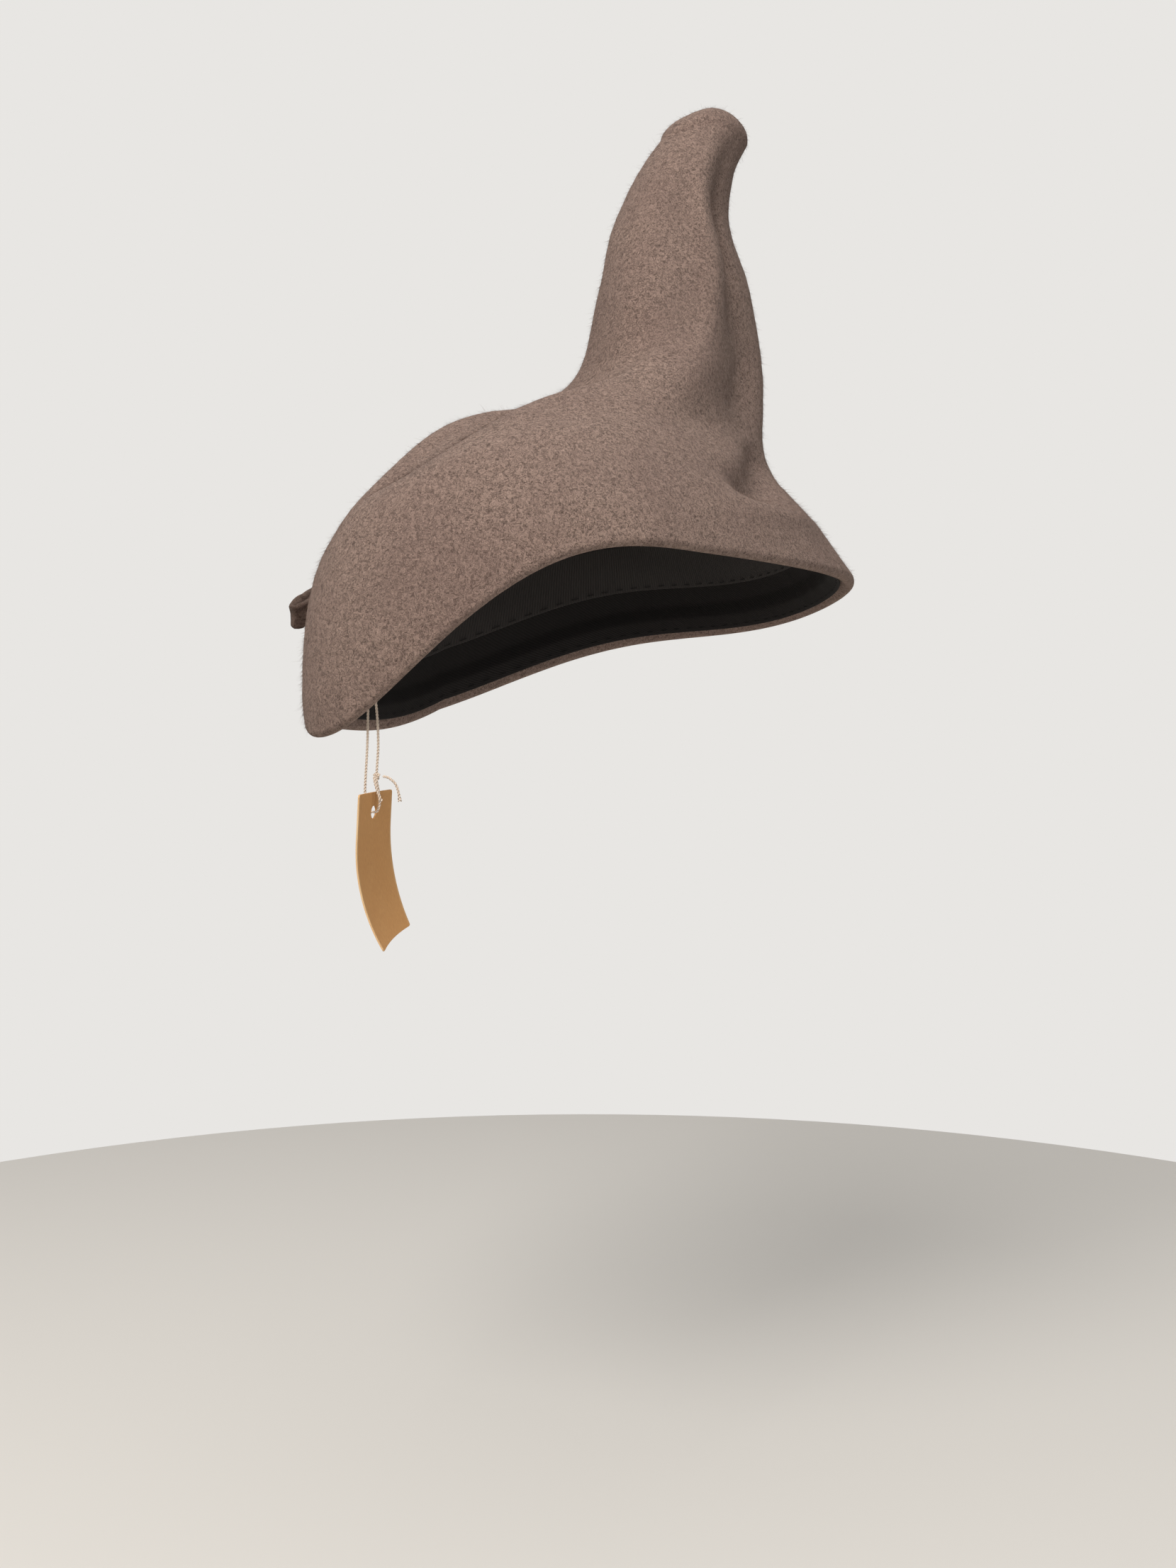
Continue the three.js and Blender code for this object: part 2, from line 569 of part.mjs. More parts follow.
function bowKnot() {
  const [w, h] = [KNOT_WIDTH / 2 - KNOT_ROUND, KNOT_HEIGHT / 2 - KNOT_ROUND];
  const shape = new THREE.Shape();
  shape.absarc(w, h, KNOT_ROUND, 0, Math.PI / 2);
  shape.absarc(-w, h, KNOT_ROUND, Math.PI / 2, Math.PI);
  shape.absarc(-w, -h, KNOT_ROUND, Math.PI, 1.5 * Math.PI);
  shape.absarc(w, -h, KNOT_ROUND, 1.5 * Math.PI, 2 * Math.PI);
  const cut = { depth: KNOT_DEPTH, bevelEnabled: false, curveSegments: 4 };
  const geometry = new THREE.ExtrudeGeometry(shape, cut);
  return geometry.rotateX(Math.PI / 2).translate(0, KNOT_DEPTH, 0);
}

const bow = bowFrame();
const bowPieces = {
  trim_loop_rear: bowLoop(1),
  trim_loop_front: bowLoop(-1),
  trim_knot: bowKnot(),
  trim_tail_rear: bowTail(1),
  trim_tail_front: bowTail(-1),
};
for (const [name, geometry] of Object.entries(bowPieces)) {
  add(name, cleaned(geometry.applyMatrix4(bow)), COLOURS.trim, 0.95);
}

export default object;
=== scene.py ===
# %% [markdown]
# # A peaked fur-felt hat
# The hat is one piece of blocked felt with a tall curved peak, an edge turned under over a wire, a dark
# facing and ribbon inside, a small felt bow at the back of the left side and a card tag on a thread.
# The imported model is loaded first: it fixes every size and place, and nothing below moves it.

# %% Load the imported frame
import math
import bpy
import numpy as np
from mathutils import Matrix, Vector, geometry, noise


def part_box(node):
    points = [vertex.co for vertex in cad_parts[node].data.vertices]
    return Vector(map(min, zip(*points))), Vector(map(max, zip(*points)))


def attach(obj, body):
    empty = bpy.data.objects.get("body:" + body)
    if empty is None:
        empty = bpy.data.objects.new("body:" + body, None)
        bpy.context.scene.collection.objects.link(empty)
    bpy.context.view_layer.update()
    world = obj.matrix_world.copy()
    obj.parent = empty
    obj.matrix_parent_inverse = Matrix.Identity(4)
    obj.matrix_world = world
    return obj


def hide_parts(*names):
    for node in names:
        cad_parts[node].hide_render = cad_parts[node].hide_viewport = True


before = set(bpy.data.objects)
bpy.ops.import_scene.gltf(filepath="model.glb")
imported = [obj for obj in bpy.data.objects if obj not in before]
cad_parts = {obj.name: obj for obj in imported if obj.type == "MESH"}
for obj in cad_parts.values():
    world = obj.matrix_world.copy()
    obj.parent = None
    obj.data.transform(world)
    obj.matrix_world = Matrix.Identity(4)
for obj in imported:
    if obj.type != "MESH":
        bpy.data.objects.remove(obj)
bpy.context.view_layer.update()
MM = 0.001

# %% [markdown]
# ## The camera
# The viewer stands behind the wearer's right shoulder, a little lower than the rim, and looks level. The
# lens is worked out from the distance, so that the hat fills the upper half of a tall frame. A camera
# turned by an angle about Z, and tipped up 90 degrees from looking down, looks level along that angle.

# %% Camera
VIEW_AZIMUTH = math.radians(230)
EYE_DISTANCE = 0.64
EYE_HEIGHT = -0.06
SENSOR = 36
LENS = 34.37

camera_data = bpy.data.cameras.new("camera")
camera_data.sensor_width = SENSOR
camera_data.lens = LENS
camera_data.dof.use_dof = False
camera = bpy.data.objects.new("camera", camera_data)
camera.location = (EYE_DISTANCE * math.sin(VIEW_AZIMUTH), -EYE_DISTANCE * math.cos(VIEW_AZIMUTH), EYE_HEIGHT)
camera.rotation_euler = (math.pi / 2, 0, VIEW_AZIMUTH)
bpy.context.scene.collection.objects.link(camera)
bpy.context.scene.camera = camera
print("camera at", [round(v, 3) for v in camera.location], "lens", LENS, "mm")

# %% [markdown]
# ## Small tools for meshes
# Most pieces of a hat are a sheet that runs round the head, so most meshes here are a grid of points:
# one row of points for each step round, joined into quads. A grid can close on itself either way, and a
# first or last column can shrink to one point, as at the top of a dome.

# %% Mesh tools
def new_mesh(name, points, faces, uvs=None, smooth=True):
    mesh = bpy.data.meshes.new(name)
    mesh.from_pydata(np.asarray(points).reshape(-1, 3).tolist(), [], [list(map(int, f)) for f in faces])
    if uvs is not None:
        layer = mesh.uv_layers.new(name="cloth")
        corner = np.zeros(len(mesh.loops), int)
        mesh.loops.foreach_get("vertex_index", corner)
        layer.data.foreach_set("uv", np.asarray(uvs, float).reshape(-1, 2)[corner].ravel())
    mesh.polygons.foreach_set("use_smooth", [smooth] * len(mesh.polygons))
    mesh.update()
    made = bpy.data.objects.new(name, mesh)
    bpy.context.scene.collection.objects.link(made)
    return made


def grid_faces(rows, columns, close_rows=True, close_columns=False):
    i = np.arange(rows if close_rows else rows - 1)[:, None]
    j = np.arange(columns if close_columns else columns - 1)[None, :]
    a, b = i * columns + j, (i + 1) % rows * columns + j
    c, d = (i + 1) % rows * columns + (j + 1) % columns, i * columns + (j + 1) % columns
    return np.stack([a, b, c, d], axis=-1).reshape(-1, 4)


def outward_faces(points, faces):
    """The same faces, turned round if the closed body they make has its inside out."""
    p = np.asarray(points).reshape(-1, 3)
    f = np.array([face[:3] for face in faces])
    if len(faces[0]) == 4:
        f = np.concatenate([f, np.array([[face[0], face[2], face[3]] for face in faces])])
    inside = np.einsum("ij,ij->", p[f[:, 0]], np.cross(p[f[:, 1]], p[f[:, 2]])) < 0
    return [face[::-1] for face in faces] if inside else faces


def smooth_path(points, step):
    """Points a step apart along a Catmull-Rom curve through the given ones."""
    p = np.asarray(points, float)
    p = np.vstack([2 * p[0] - p[1], p, 2 * p[-1] - p[-2]])
    fine = []
    for k in range(1, len(p) - 2):
        t = np.linspace(0, 1, 24, endpoint=False)[:, None]
        a, b, c, d = p[k - 1], p[k], p[k + 1], p[k + 2]
        fine.append(b + 0.5 * t * (c - a + t * (2 * a - 5 * b + 4 * c - d + t * (3 * (b - c) + d - a))))
    fine = np.vstack(fine + [p[-2:-1]])
    along = np.concatenate([[0], np.cumsum(np.linalg.norm(np.diff(fine, axis=0), axis=1))])
    at = np.linspace(0, along[-1], max(3, int(round(along[-1] / step)) + 1))
    return np.stack([np.interp(at, along, fine[:, k]) for k in range(3)], axis=1)


def path_length(path):
    return float(np.linalg.norm(np.diff(path, axis=0), axis=1).sum())


def path_frames(path):
    """Two directions square to the path at each point, turned as little as they can be."""
    tangent = np.gradient(path, axis=0)
    tangent /= np.linalg.norm(tangent, axis=1)[:, None]
    side = np.cross(tangent[0], [0.3, 0.2, 0.93])
    sides = []
    for t in tangent:
        side = side - t * (side @ t)
        side /= np.linalg.norm(side)
        sides.append(side)
    sides = np.array(sides)
    return sides, np.cross(tangent, sides)


def tube(path, radius, sides=8):
    """The points and faces of a closed tube; the radius is one number or one for each point."""
    one, two = path_frames(path)
    radius = np.broadcast_to(np.asarray(radius, float), len(path))
    turn = np.linspace(0, 2 * math.pi, sides, endpoint=False)
    ring = one[:, None] * np.cos(turn)[None, :, None] + two[:, None] * np.sin(turn)[None, :, None]
    points = (path[:, None] + radius[:, None, None] * ring).reshape(-1, 3)
    faces = [tuple(f) for f in grid_faces(len(path), sides, close_rows=False, close_columns=True)]
    faces.append(tuple(range(sides)))
    faces.append(tuple(range(len(points) - 1, len(points) - 1 - sides, -1)))
    return points, faces


def join_parts(parts):
    """Several (points, faces) as one."""
    points, faces, count = [], [], 0
    for p, f in parts:
        points.append(np.asarray(p))
        faces += [tuple(int(i) + count for i in face) for face in f]
        count += len(p)
    return np.concatenate(points), faces


# %% [markdown]
# ## The tag's thread
# The thread is a two-ply cotton, about 1 mm thick: two yarns twisted round each other. It comes off a bar of
# stitches inside the back of the rim, goes down behind the tag, through its hole and back up to the bar, with
# an overhand knot on the way. A plain tube would show no twist, so each ply is its own tube that winds
# round the middle line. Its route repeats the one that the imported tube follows.

# %% Thread route
TURN = np.array([-0.8144, -0.5803, 0.0])
SIDE = np.cross([0, 0, 1], TURN)
bar_low, bar_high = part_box("thread_anchor")
ANCHOR = np.array((bar_low + bar_high) / 2)
LOOP = [(-0.9, 0, -1.7), (-1.3, 2.2, -8), (-2, 4, -16), (-2.4, 4.2, -28), (-3.2, 4.1, -43),
        (-2.9, 4, -49), (-1.7, 4, -51.6), (0, 4, -52), (1.7, 4, -51.6), (2.7, 4, -48.5), (2.2, 4, -44),
        (1.4, 4.1, -38.7), (2, 4.2, -27), (1.7, 3.8, -16), (1.3, 2.2, -8), (0.9, 0, -1.7)]
TAILS = {
    "thread_tail_short": [(1.6, 1.2, -38.7), (2.2, 0.6, -41), (3.2, 0.7, -44.5), (4.4, 1.1, -48)],
    "thread_tail_long": [(3.9, 4.1, -38.7), (6, 4.5, -39.3), (8.4, 5, -41.4), (9.6, 5.2, -44.5),
                         (10.2, 5.2, -48)],
}
KNOT = (1.4, 4.1, -38.7)
HOLE = (0, 4, -52)
THREAD = 1.0 * MM
TWIST = 2.4 * MM


def from_anchor(offset):
    turned, aside, height = np.asarray(offset, float) * MM
    return ANCHOR + turned * TURN + aside * SIDE + np.array([0, 0, height])


def twisted(path, ply=THREAD * 0.27, twist=TWIST, fray=0.0):
    """Two plies wound round a path. Near its far end they may spread, as cut thread does."""
    one, two = path_frames(path)
    along = np.concatenate([[0], np.cumsum(np.linalg.norm(np.diff(path, axis=0), axis=1))])
    opened = 1 + fray * np.clip((along - along[-1] * 0.75) / (along[-1] * 0.25), 0, 1) ** 2
    parts = []
    for k in range(2):
        angle = 2 * math.pi * along / twist + math.pi * k
        offset = ply * opened[:, None] * (one * np.cos(angle)[:, None] + two * np.sin(angle)[:, None])
        parts.append(tube(path + offset, ply * 1.02, 6))
    return join_parts(parts)


THREAD_STEP = 0.28 * MM
loop_path = smooth_path([from_anchor(p) for p in LOOP], THREAD_STEP)
thread_loop = new_mesh("thread_loop_cotton", *twisted(loop_path))
print("thread loop:", round(path_length(loop_path), 4), "m long")

# %% [markdown]
# ## Thread tails, knot and bar
# The two ends left over from the knot hang free and fray a little, so their twist opens out. The knot is a
# trefoil curve, the simplest closed curve that reads as tied. The bar is a row of small stitches worked over
# a core, sewn to the facing, and it is what the loop hangs from.

# %% Thread tails, knot and bar
tails = []
for node, offsets in TAILS.items():
    path = smooth_path([from_anchor(p) for p in offsets], THREAD_STEP)
    tail = new_mesh(node + "_cotton", *twisted(path, fray=1.6))
    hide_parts(node)
    tails.append(tail)
    print(node, round(path_length(path), 4), "m long")

KNOT_SIZE = 0.62 * MM
turn = np.linspace(0, 2 * math.pi, 90)
knot_curve = np.stack([np.sin(turn) + 2 * np.sin(2 * turn), np.cos(turn) - 2 * np.cos(2 * turn),
                       -np.sin(3 * turn)], axis=1)
knot_path = from_anchor(KNOT) + KNOT_SIZE * 0.62 * (knot_curve @ np.array([TURN, [0, 0, 1], SIDE]))
knot = new_mesh("thread_knot_cotton", *twisted(knot_path, ply=THREAD * 0.25))
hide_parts("thread_knot")

BAR_STITCHES = 6
BAR_LENGTH = 6.5 * MM
inward = SIDE
stitches = []
for k in range(BAR_STITCHES):
    start = ANCHOR + TURN * BAR_LENGTH * (k / (BAR_STITCHES - 1) - 0.5)
    arc = np.linspace(-0.5, 1.5, 14) * math.pi
    ring = start + 0.55 * MM * (np.cos(arc)[:, None] * np.array([0, 0, 1]) + np.sin(arc)[:, None] * inward)
    stitches.append(tube(ring + TURN * np.linspace(-0.35, 0.35, 14)[:, None] * MM, 0.28 * MM, 6))
core = ANCHOR + TURN * BAR_LENGTH * np.linspace(-0.55, 0.55, 12)[:, None]
stitches.append(tube(core, 0.42 * MM, 8))
bar = new_mesh("thread_bar_cotton", *join_parts(stitches))
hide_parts("thread_anchor")
print("bar of", BAR_STITCHES, "stitches at", ANCHOR.round(4))

# %% [markdown]
# ## The felt's surface
# Felt is blocked wet over a wooden form and keeps its shape when it dries, so the whole hat is one smooth
# surface. Drawing it by hand would take a sculptor; here it is a stack of rings, from the rim up to the
# root of the tip, each with its reach to the front and back, its width and three heights, and a smooth
# curve through each of those numbers. The folds that hands pressed in are soft dents added on top.

# %% The hood's rings
HAT_LENGTH, HAT_WIDTH, PEAK_HEIGHT = 276 * MM, 172 * MM, 250 * MM
FELT, TURNED_FELT, TURNED_DEPTH = 2 * MM, 1.3 * MM, 10 * MM
WIRE_SLOT, WIRE_HEIGHT = 2 * MM, 2.6 * MM
RIM_THICKNESS = FELT + WIRE_SLOT + TURNED_FELT
BACK_DROP, DROP_RINGS = 3.2, 4
TIP_LEAN, TIP_RISE = np.array([0, -0.2, 0.98]), 14 * MM

# percent of half the length, half the width and the peak's height, from the rim up:
# front, back, width, widest, height at the front, side and back
RINGS = np.array([
    (105, 91, 100, 15, 14.5, 12.5, -13.2),
    (95, 93, 95, 16, 19, 18, -7),
    (84.5, 92, 86, 14, 23.5, 24, 5),
    (72.5, 85, 73, 10, 30, 30, 17.5),
    (69, 71, 58, 2, 37, 35, 25.5),
    (71, 45, 47, -12, 44.5, 41, 34.5),
    (72, 16, 41, -25, 52, 47.5, 37),
    (70, -4, 37, -34, 60, 55, 44.5),
    (65, -9, 33, -38, 69, 66.5, 60),
    (58, -14, 26, -37, 78.5, 78, 73),
    (60.8, -23.5, 22, -42, 88, 87.5, 83.5),
    (66.8, -34, 19, -50, 94, 94, 92),
]) / 100
SCALE = np.array([-HAT_LENGTH / 2, HAT_LENGTH / 2, HAT_WIDTH / 2, HAT_LENGTH / 2] + [PEAK_HEIGHT] * 3)
COLUMNS = RINGS * SCALE
TIP_ROOT = len(RINGS) - 1
TIP = TIP_ROOT + 1

# ring, how far it spreads up and down, angle, how far it spreads round, and the move in millimetres
FOLDS = [
    (0, 2.4, 252, 46, (0, 0, -62)),  # the left side hangs lower
    (0, 1.6, 335, 35, (0, 0, -13)),  # and so does the front left
    (4.6, 1.2, 180, 26, (0, 0, -9)),  # valley behind the peak
    (4.6, 0.8, 225, 22, (0, 0, 4.5)),  # far edge of that valley
    (3.6, 0.8, 200, 12, (-1.5, -4.5, -10)),  # dent at the back of the crown
    (7, 1.5, 160, 32, (-10, 8, 1)),  # fuller foot of the peak
    (6.4, 1.4, 122, 24, (-5, 4, 0)),
    (6.8, 1, 205, 24, (2, 3, 1.5)),
    (8, 2.2, 50, 24, (3.2, 2.4, 0)),  # hollow face of the peak
    (8, 1.8, 70, 13, (6, 2, 0)),
    (5.6, 1.3, 56, 12, (5, 3, 0)),
    (8.2, 1.7, 99, 11, (-3.2, 1.4, 0)),  # ridge beside the hollow
    (5.4, 1.6, 90, 18, (-8, 5, 0)),
    (3.3, 0.5, 46, 9, (4, 5, -2)),  # pinch, upper end
    (2.65, 0.46, 56, 8, (5.5, 4, -3)),
    (2.1, 0.46, 65, 9, (7.5, 3, -4)),  # pinch, deep end
    (1.5, 0.5, 60, 14, (-2, -1.5, 1.5)),  # swelling below it
]


def spline(values, at):
    last = len(values) - 1
    i = np.clip(np.floor(at).astype(int), 0, last - 1)
    t = at - i
    a, b = values[np.maximum(i - 1, 0)], values[i]
    c, d = values[i + 1], values[np.minimum(i + 2, last)]
    return b + 0.5 * t * (c - a + t * (2 * a - 5 * b + 4 * c - d + t * (3 * (b - c) + d - a)))


def ring_point(at, angle):
    c, s = np.cos(np.radians(angle)), np.sin(np.radians(angle))
    front, back, width, widest, z_front, z_side, z_back = (spline(COLUMNS[:, k], at) for k in range(7))
    end, z_end = np.where(c > 0, front, back), np.where(c > 0, z_front, z_back)
    power = np.where(c > 0, 2, 2 + (BACK_DROP - 2) * np.maximum(0, 1 - at / DROP_RINGS))
    y = widest + np.abs(c) * (end - widest)
    z = z_side + np.abs(c) ** power * (z_end - z_side)
    return np.stack([-width * s, y, z], axis=-1)


def hood(at, angle):
    at, angle = np.broadcast_arrays(np.asarray(at, float), np.asarray(angle, float))
    point = ring_point(np.minimum(at, TIP_ROOT), angle)
    bend = np.clip(at - TIP_ROOT, 0, 1) * math.pi / 2
    centre = ring_point(np.full(4, float(TIP_ROOT)), np.arange(4) * 90.0).mean(axis=0)
    point = (point - centre) * np.cos(bend)[..., None] + centre
    point = point + TIP_LEAN * TIP_RISE * np.sin(bend)[..., None]
    fade = np.minimum(1, (TIP - at) / 2)
    for ring, spread, middle, width, move in FOLDS:
        off = (angle - middle + 540) % 360 - 180
        strength = np.exp(-(((at - ring) / spread) ** 2) - (off / width) ** 2)
        point = point + (fade * strength)[..., None] * np.array(move) * MM
    return point


def outward(at, angle):
    low = np.clip(at, 0.02, TIP - 0.04)
    along = hood(low + 0.02, angle) - hood(low - 0.02, angle)
    around = hood(low, angle + 1) - hood(low, angle - 1)
    normal = np.cross(along, around)
    return normal / np.linalg.norm(normal, axis=-1)[..., None]


def under(at, angle, depth):
    at, angle = np.broadcast_arrays(np.asarray(at, float), np.asarray(angle, float))
    return hood(at, angle) - outward(at, angle) * np.broadcast_to(depth, at.shape)[..., None]


def up(height, angle):
    """The ring number that lies a height up the felt from the rim, at each angle."""
    at = np.linspace(0, TIP_ROOT, 221)
    angle = np.atleast_1d(angle)
    line = hood(at[None, :], angle[:, None])
    length = np.linalg.norm(np.diff(line, axis=1), axis=2).cumsum(axis=1)
    length = np.concatenate([np.zeros((len(angle), 1)), length], axis=1)
    return np.array([np.interp(height, row, at) for row in length])


print("rim:", hood(0, 0).round(4), "to", hood(0, 180).round(4), "tip:", hood(TIP, 0).round(4))

# %% [markdown]
# ## The felt hood
# One closed shell: the outer face from the tip to the rim, the round edge, the felt turned under over the
# wire, and the inner face back up to the tip. Real felt is never quite even, so a slow noise moves the
# surface by a few tenths of a millimetre. The finer nap is made next, as fibres.

# %% Felt hood
AROUND = 300
OUTER_ROWS, INNER_ROWS = 250, 90
angles = np.arange(AROUND) * 360 / AROUND


def rows_between(high, low, count):
    return high[:, None] + (low - high)[:, None] * np.linspace(0, 1, count)[None, :]


def wavy(points, normals, size, amount, seed):
    """Points moved along their normals by smooth noise with features of one size."""
    shift = np.array([noise.noise(Vector(p / size) + Vector((seed, 0, 0))) for p in points.reshape(-1, 3)])
    return points + normals * (shift * amount).reshape(points.shape[:-1])[..., None]


around = angles[:, None]
outer_at = rows_between(np.full(AROUND, float(TIP)), np.zeros(AROUND), OUTER_ROWS)
outer_normal = outward(outer_at, around)
outer = hood(outer_at, around)
outer = wavy(outer, outer_normal, 0.022, 0.5 * MM, 3)
outer = wavy(outer, outer_normal, 0.006, 0.16 * MM, 11)
rim_outer, rim_inner = outer[:, -1], under(0, angles, RIM_THICKNESS)
rim_middle = (rim_outer + rim_inner) / 2
rim_down = hood(0, angles) - hood(0.1, angles)
rim_down /= np.linalg.norm(rim_down, axis=1)[:, None]
bend = np.radians(np.arange(1, 12) * 15)[None, :, None]
edge = (rim_middle[:, None] + (rim_outer - rim_middle)[:, None] * np.cos(bend)
        + rim_down[:, None] * RIM_THICKNESS / 2 * np.sin(bend))
hem_at = up(TURNED_DEPTH, angles)
floor_at = up(WIRE_HEIGHT - WIRE_SLOT / 2, angles)
hem_inner = under(rows_between(np.zeros(AROUND), hem_at, 8), around, RIM_THICKNESS)
hem_outer = under(rows_between(hem_at, floor_at, 8), around, RIM_THICKNESS - TURNED_FELT)
inner_at = rows_between(floor_at, np.full(AROUND, float(TIP)), INNER_ROWS)
inner = under(inner_at, around, FELT)
shell = np.concatenate([outer, edge, hem_inner, hem_outer, inner], axis=1)
shell[:, 0] = shell[:, 0].mean(axis=0)
shell[:, -1] = hood(TIP, 0) - TIP_LEAN * FELT
shell_faces = outward_faces(shell, [tuple(f) for f in grid_faces(AROUND, shell.shape[1])])
felt_hood = new_mesh("felt_hood_blocked", shell, shell_faces)
weld = felt_hood.modifiers.new("weld", "WELD")
weld.merge_threshold = 0.00001
print("felt hood:", len(felt_hood.data.polygons), "faces")

# %% [markdown]
# ## The nap
# Fur felt is a mat of short fibres, and the loose ends stand up from it as a soft nap about a millimetre
# long, which is what blurs the hat's outline. Hair particles would be lost when the model is exported, so
# each fibre is a real spike with four faces. They lie over towards the rim, as a brush leaves them.

# %% Nap of loose fibres
FIBRES = 52000
FIBRE_LENGTH, FIBRE_WIDTH = 1.8 * MM, 0.08 * MM
chance = np.random.default_rng(7)


def nap(name, centres, normals, areas, along, count):
    pick = chance.choice(len(centres), count, p=areas / areas.sum())
    size = np.sqrt(areas[pick])[:, None]
    base = centres[pick] + size * 0.5 * chance.uniform(-1, 1, (count, 3))
    normal, lie = normals[pick], along[pick]
    base = base - normal * ((base - centres[pick]) * normal).sum(axis=1)[:, None] - normal * 0.05 * MM
    across = np.cross(normal, lie)
    swirl = chance.normal(0, 0.75, count)[:, None]
    lean = np.clip(chance.normal(1.0, 0.3, count), 0.1, 1.45)[:, None]
    lie = lie * np.cos(swirl) + across * np.sin(swirl)
    length = FIBRE_LENGTH * np.minimum(np.exp(chance.normal(-0.15, 0.5, count)), 3)[:, None]
    tip = base + length * (normal * np.cos(lean) + lie * np.sin(lean))
    one, two = np.cross(lie, normal), np.cross(np.cross(lie, normal), tip - base)
    two /= np.linalg.norm(two, axis=1)[:, None]
    one /= np.linalg.norm(one, axis=1)[:, None]
    ring = [base + FIBRE_WIDTH / 2 * (one * math.cos(a) + two * math.sin(a)) for a in (0.5, 2.6, 4.7)]
    points = np.stack(ring + [tip], axis=1).reshape(-1, 3)
    k = np.arange(count)[:, None] * 4
    faces = np.concatenate([k + np.array(f) for f in [(0, 1, 3), (1, 2, 3), (2, 0, 3), (0, 2, 1)]])
    return new_mesh(name, points, faces, smooth=False)


cell = outer[:, :-1] * 0.5 + np.roll(outer, -1, axis=0)[:, 1:] * 0.5
one_way = np.roll(outer, -1, axis=0)[:, :-1] - outer[:, :-1]
other_way = outer[:, 1:] - outer[:, :-1]
cell_normal = np.cross(other_way, one_way)
cell_area = np.linalg.norm(cell_normal, axis=2)
cell_normal /= np.maximum(cell_area, 1e-12)[..., None]
cell_normal *= np.sign((cell_normal * outer_normal[:, :-1]).sum(axis=2))[..., None]
cell_along = other_way / np.maximum(np.linalg.norm(other_way, axis=2), 1e-12)[..., None]
keep = cell_area.ravel() > 1e-10
felt_nap = nap("felt_hood_nap", cell.reshape(-1, 3)[keep], cell_normal.reshape(-1, 3)[keep],
               cell_area.ravel()[keep], cell_along.reshape(-1, 3)[keep], FIBRES)
print("nap:", FIBRES, "fibres over", round(float(cell_area.sum()), 4), "square metres of felt")

# %% [markdown]
# ## Facing, sweatband and lining
# Inside, a dark bias facing covers the turned edge, a ribbed grosgrain ribbon marks the head size, and a thin
# satin lining hides the felt above it. All three are sheets sewn round the hat, so they follow the felt at
# a small depth. Bias cloth ripples where it is eased round a curve, and the lining is gathered.

# %% Ribbons inside the hat
CLEARANCE, FACING_CLEARANCE = 0.4 * MM, 0.75 * MM
RIBBON, LINING = 0.8 * MM, 0.7 * MM
LINING_DEPTH = FELT + 1.6 * MM
BAND_DEPTH = LINING_DEPTH + LINING + 0.9 * MM
FACING_LOW, FACING_HIGH = 2.5 * MM, 28.5 * MM
BAND_LOW, BAND_HIGH = 26 * MM, 50 * MM
HEM_STEP = 5 * MM


def band(name, low_at, high_at, depth_at, thickness, ripple, rows=26, steps=420):
    """A closed thin ribbon round the hat with the cloth's own lengths as its UVs, in metres."""
    turn_angles = np.arange(steps) * 360 / steps
    at = rows_between(low_at(turn_angles), high_at(turn_angles), rows)
    share = np.linspace(0, 1, rows)[None, :]
    depth = depth_at(share) + ripple(turn_angles[:, None], share)
    face = under(at, turn_angles[:, None], depth)
    back = under(at, turn_angles[:, None], depth + thickness)
    middle = under(at, turn_angles[:, None], depth + thickness / 2)
    rim_low = (middle[:, :1] * 1.3 - middle[:, 1:2] * 0.3)
    rim_high = (middle[:, -1:] * 1.3 - middle[:, -2:-1] * 0.3)
    section = np.concatenate([face, rim_high, back[:, ::-1], rim_low], axis=1)
    around_length = path_length(np.vstack([middle[:, rows // 2], middle[:1, rows // 2]]))
    height = float(np.linalg.norm(middle[:, -1] - middle[:, 0], axis=1).mean())
    u = np.arange(steps)[:, None] / steps * around_length * np.ones((1, section.shape[1]))
    v = np.concatenate([share[0], [1], share[0][::-1], [0]])[None, :] * height * np.ones((steps, 1))
    faces = [tuple(f) for f in grid_faces(steps, section.shape[1], close_columns=True)]
    made = new_mesh(name, section, outward_faces(section, faces), np.stack([u, v], axis=-1))
    print(name, "flat:", round(around_length, 4), "by", round(height, 4), "m")
    return made, (around_length, height)


def facing_depth(share):
    height = FACING_LOW + (FACING_HIGH - FACING_LOW) * share
    past = np.clip((height - TURNED_DEPTH - MM) / HEM_STEP, 0, 1)
    return FACING_CLEARANCE + RIM_THICKNESS + past * (FELT - RIM_THICKNESS)


def eased(count, amount, seed):
    """Soft ripples round the hat, strongest in the middle of the cloth's height."""
    return lambda angle, share: (amount * np.sin(math.pi * share) * (
        0.6 + 0.6 * np.sin(np.radians(angle) * count + seed + 2 * share)
        + 0.4 * np.sin(np.radians(angle) * (count * 0.37 // 1) + 2 * seed)))


facing, facing_flat = band("rim_facing_bias", lambda a: up(FACING_LOW, a), lambda a: up(FACING_HIGH, a),
                           facing_depth, RIBBON, eased(46, 0.22 * MM, 1.0))
sweatband, sweatband_flat = band("sweatband_grosgrain", lambda a: up(BAND_LOW, a), lambda a: up(BAND_HIGH, a),
                                 lambda s: BAND_DEPTH + 0 * s, RIBBON, eased(9, 0.5 * MM, 2.0))
LINING_TOP = 4.6
lining, lining_flat = band("crown_lining_satin", lambda a: up(FACING_HIGH + 3 * MM, a),
                           lambda a: np.full(len(a), LINING_TOP), lambda s: LINING_DEPTH + 0 * s, LINING,
                           lambda a, s: 0.45 * MM * (1 + np.sin(np.radians(a) * 60)) * s ** 2, rows=40,
                           steps=480)

# %% [markdown]
# ## Lining tip
# The satin lining is closed at its top by a flat piece sewn in with small puckers. It is a disc between the
# lining's upper edge and its middle, with two faces, and the puckers fade towards the middle.

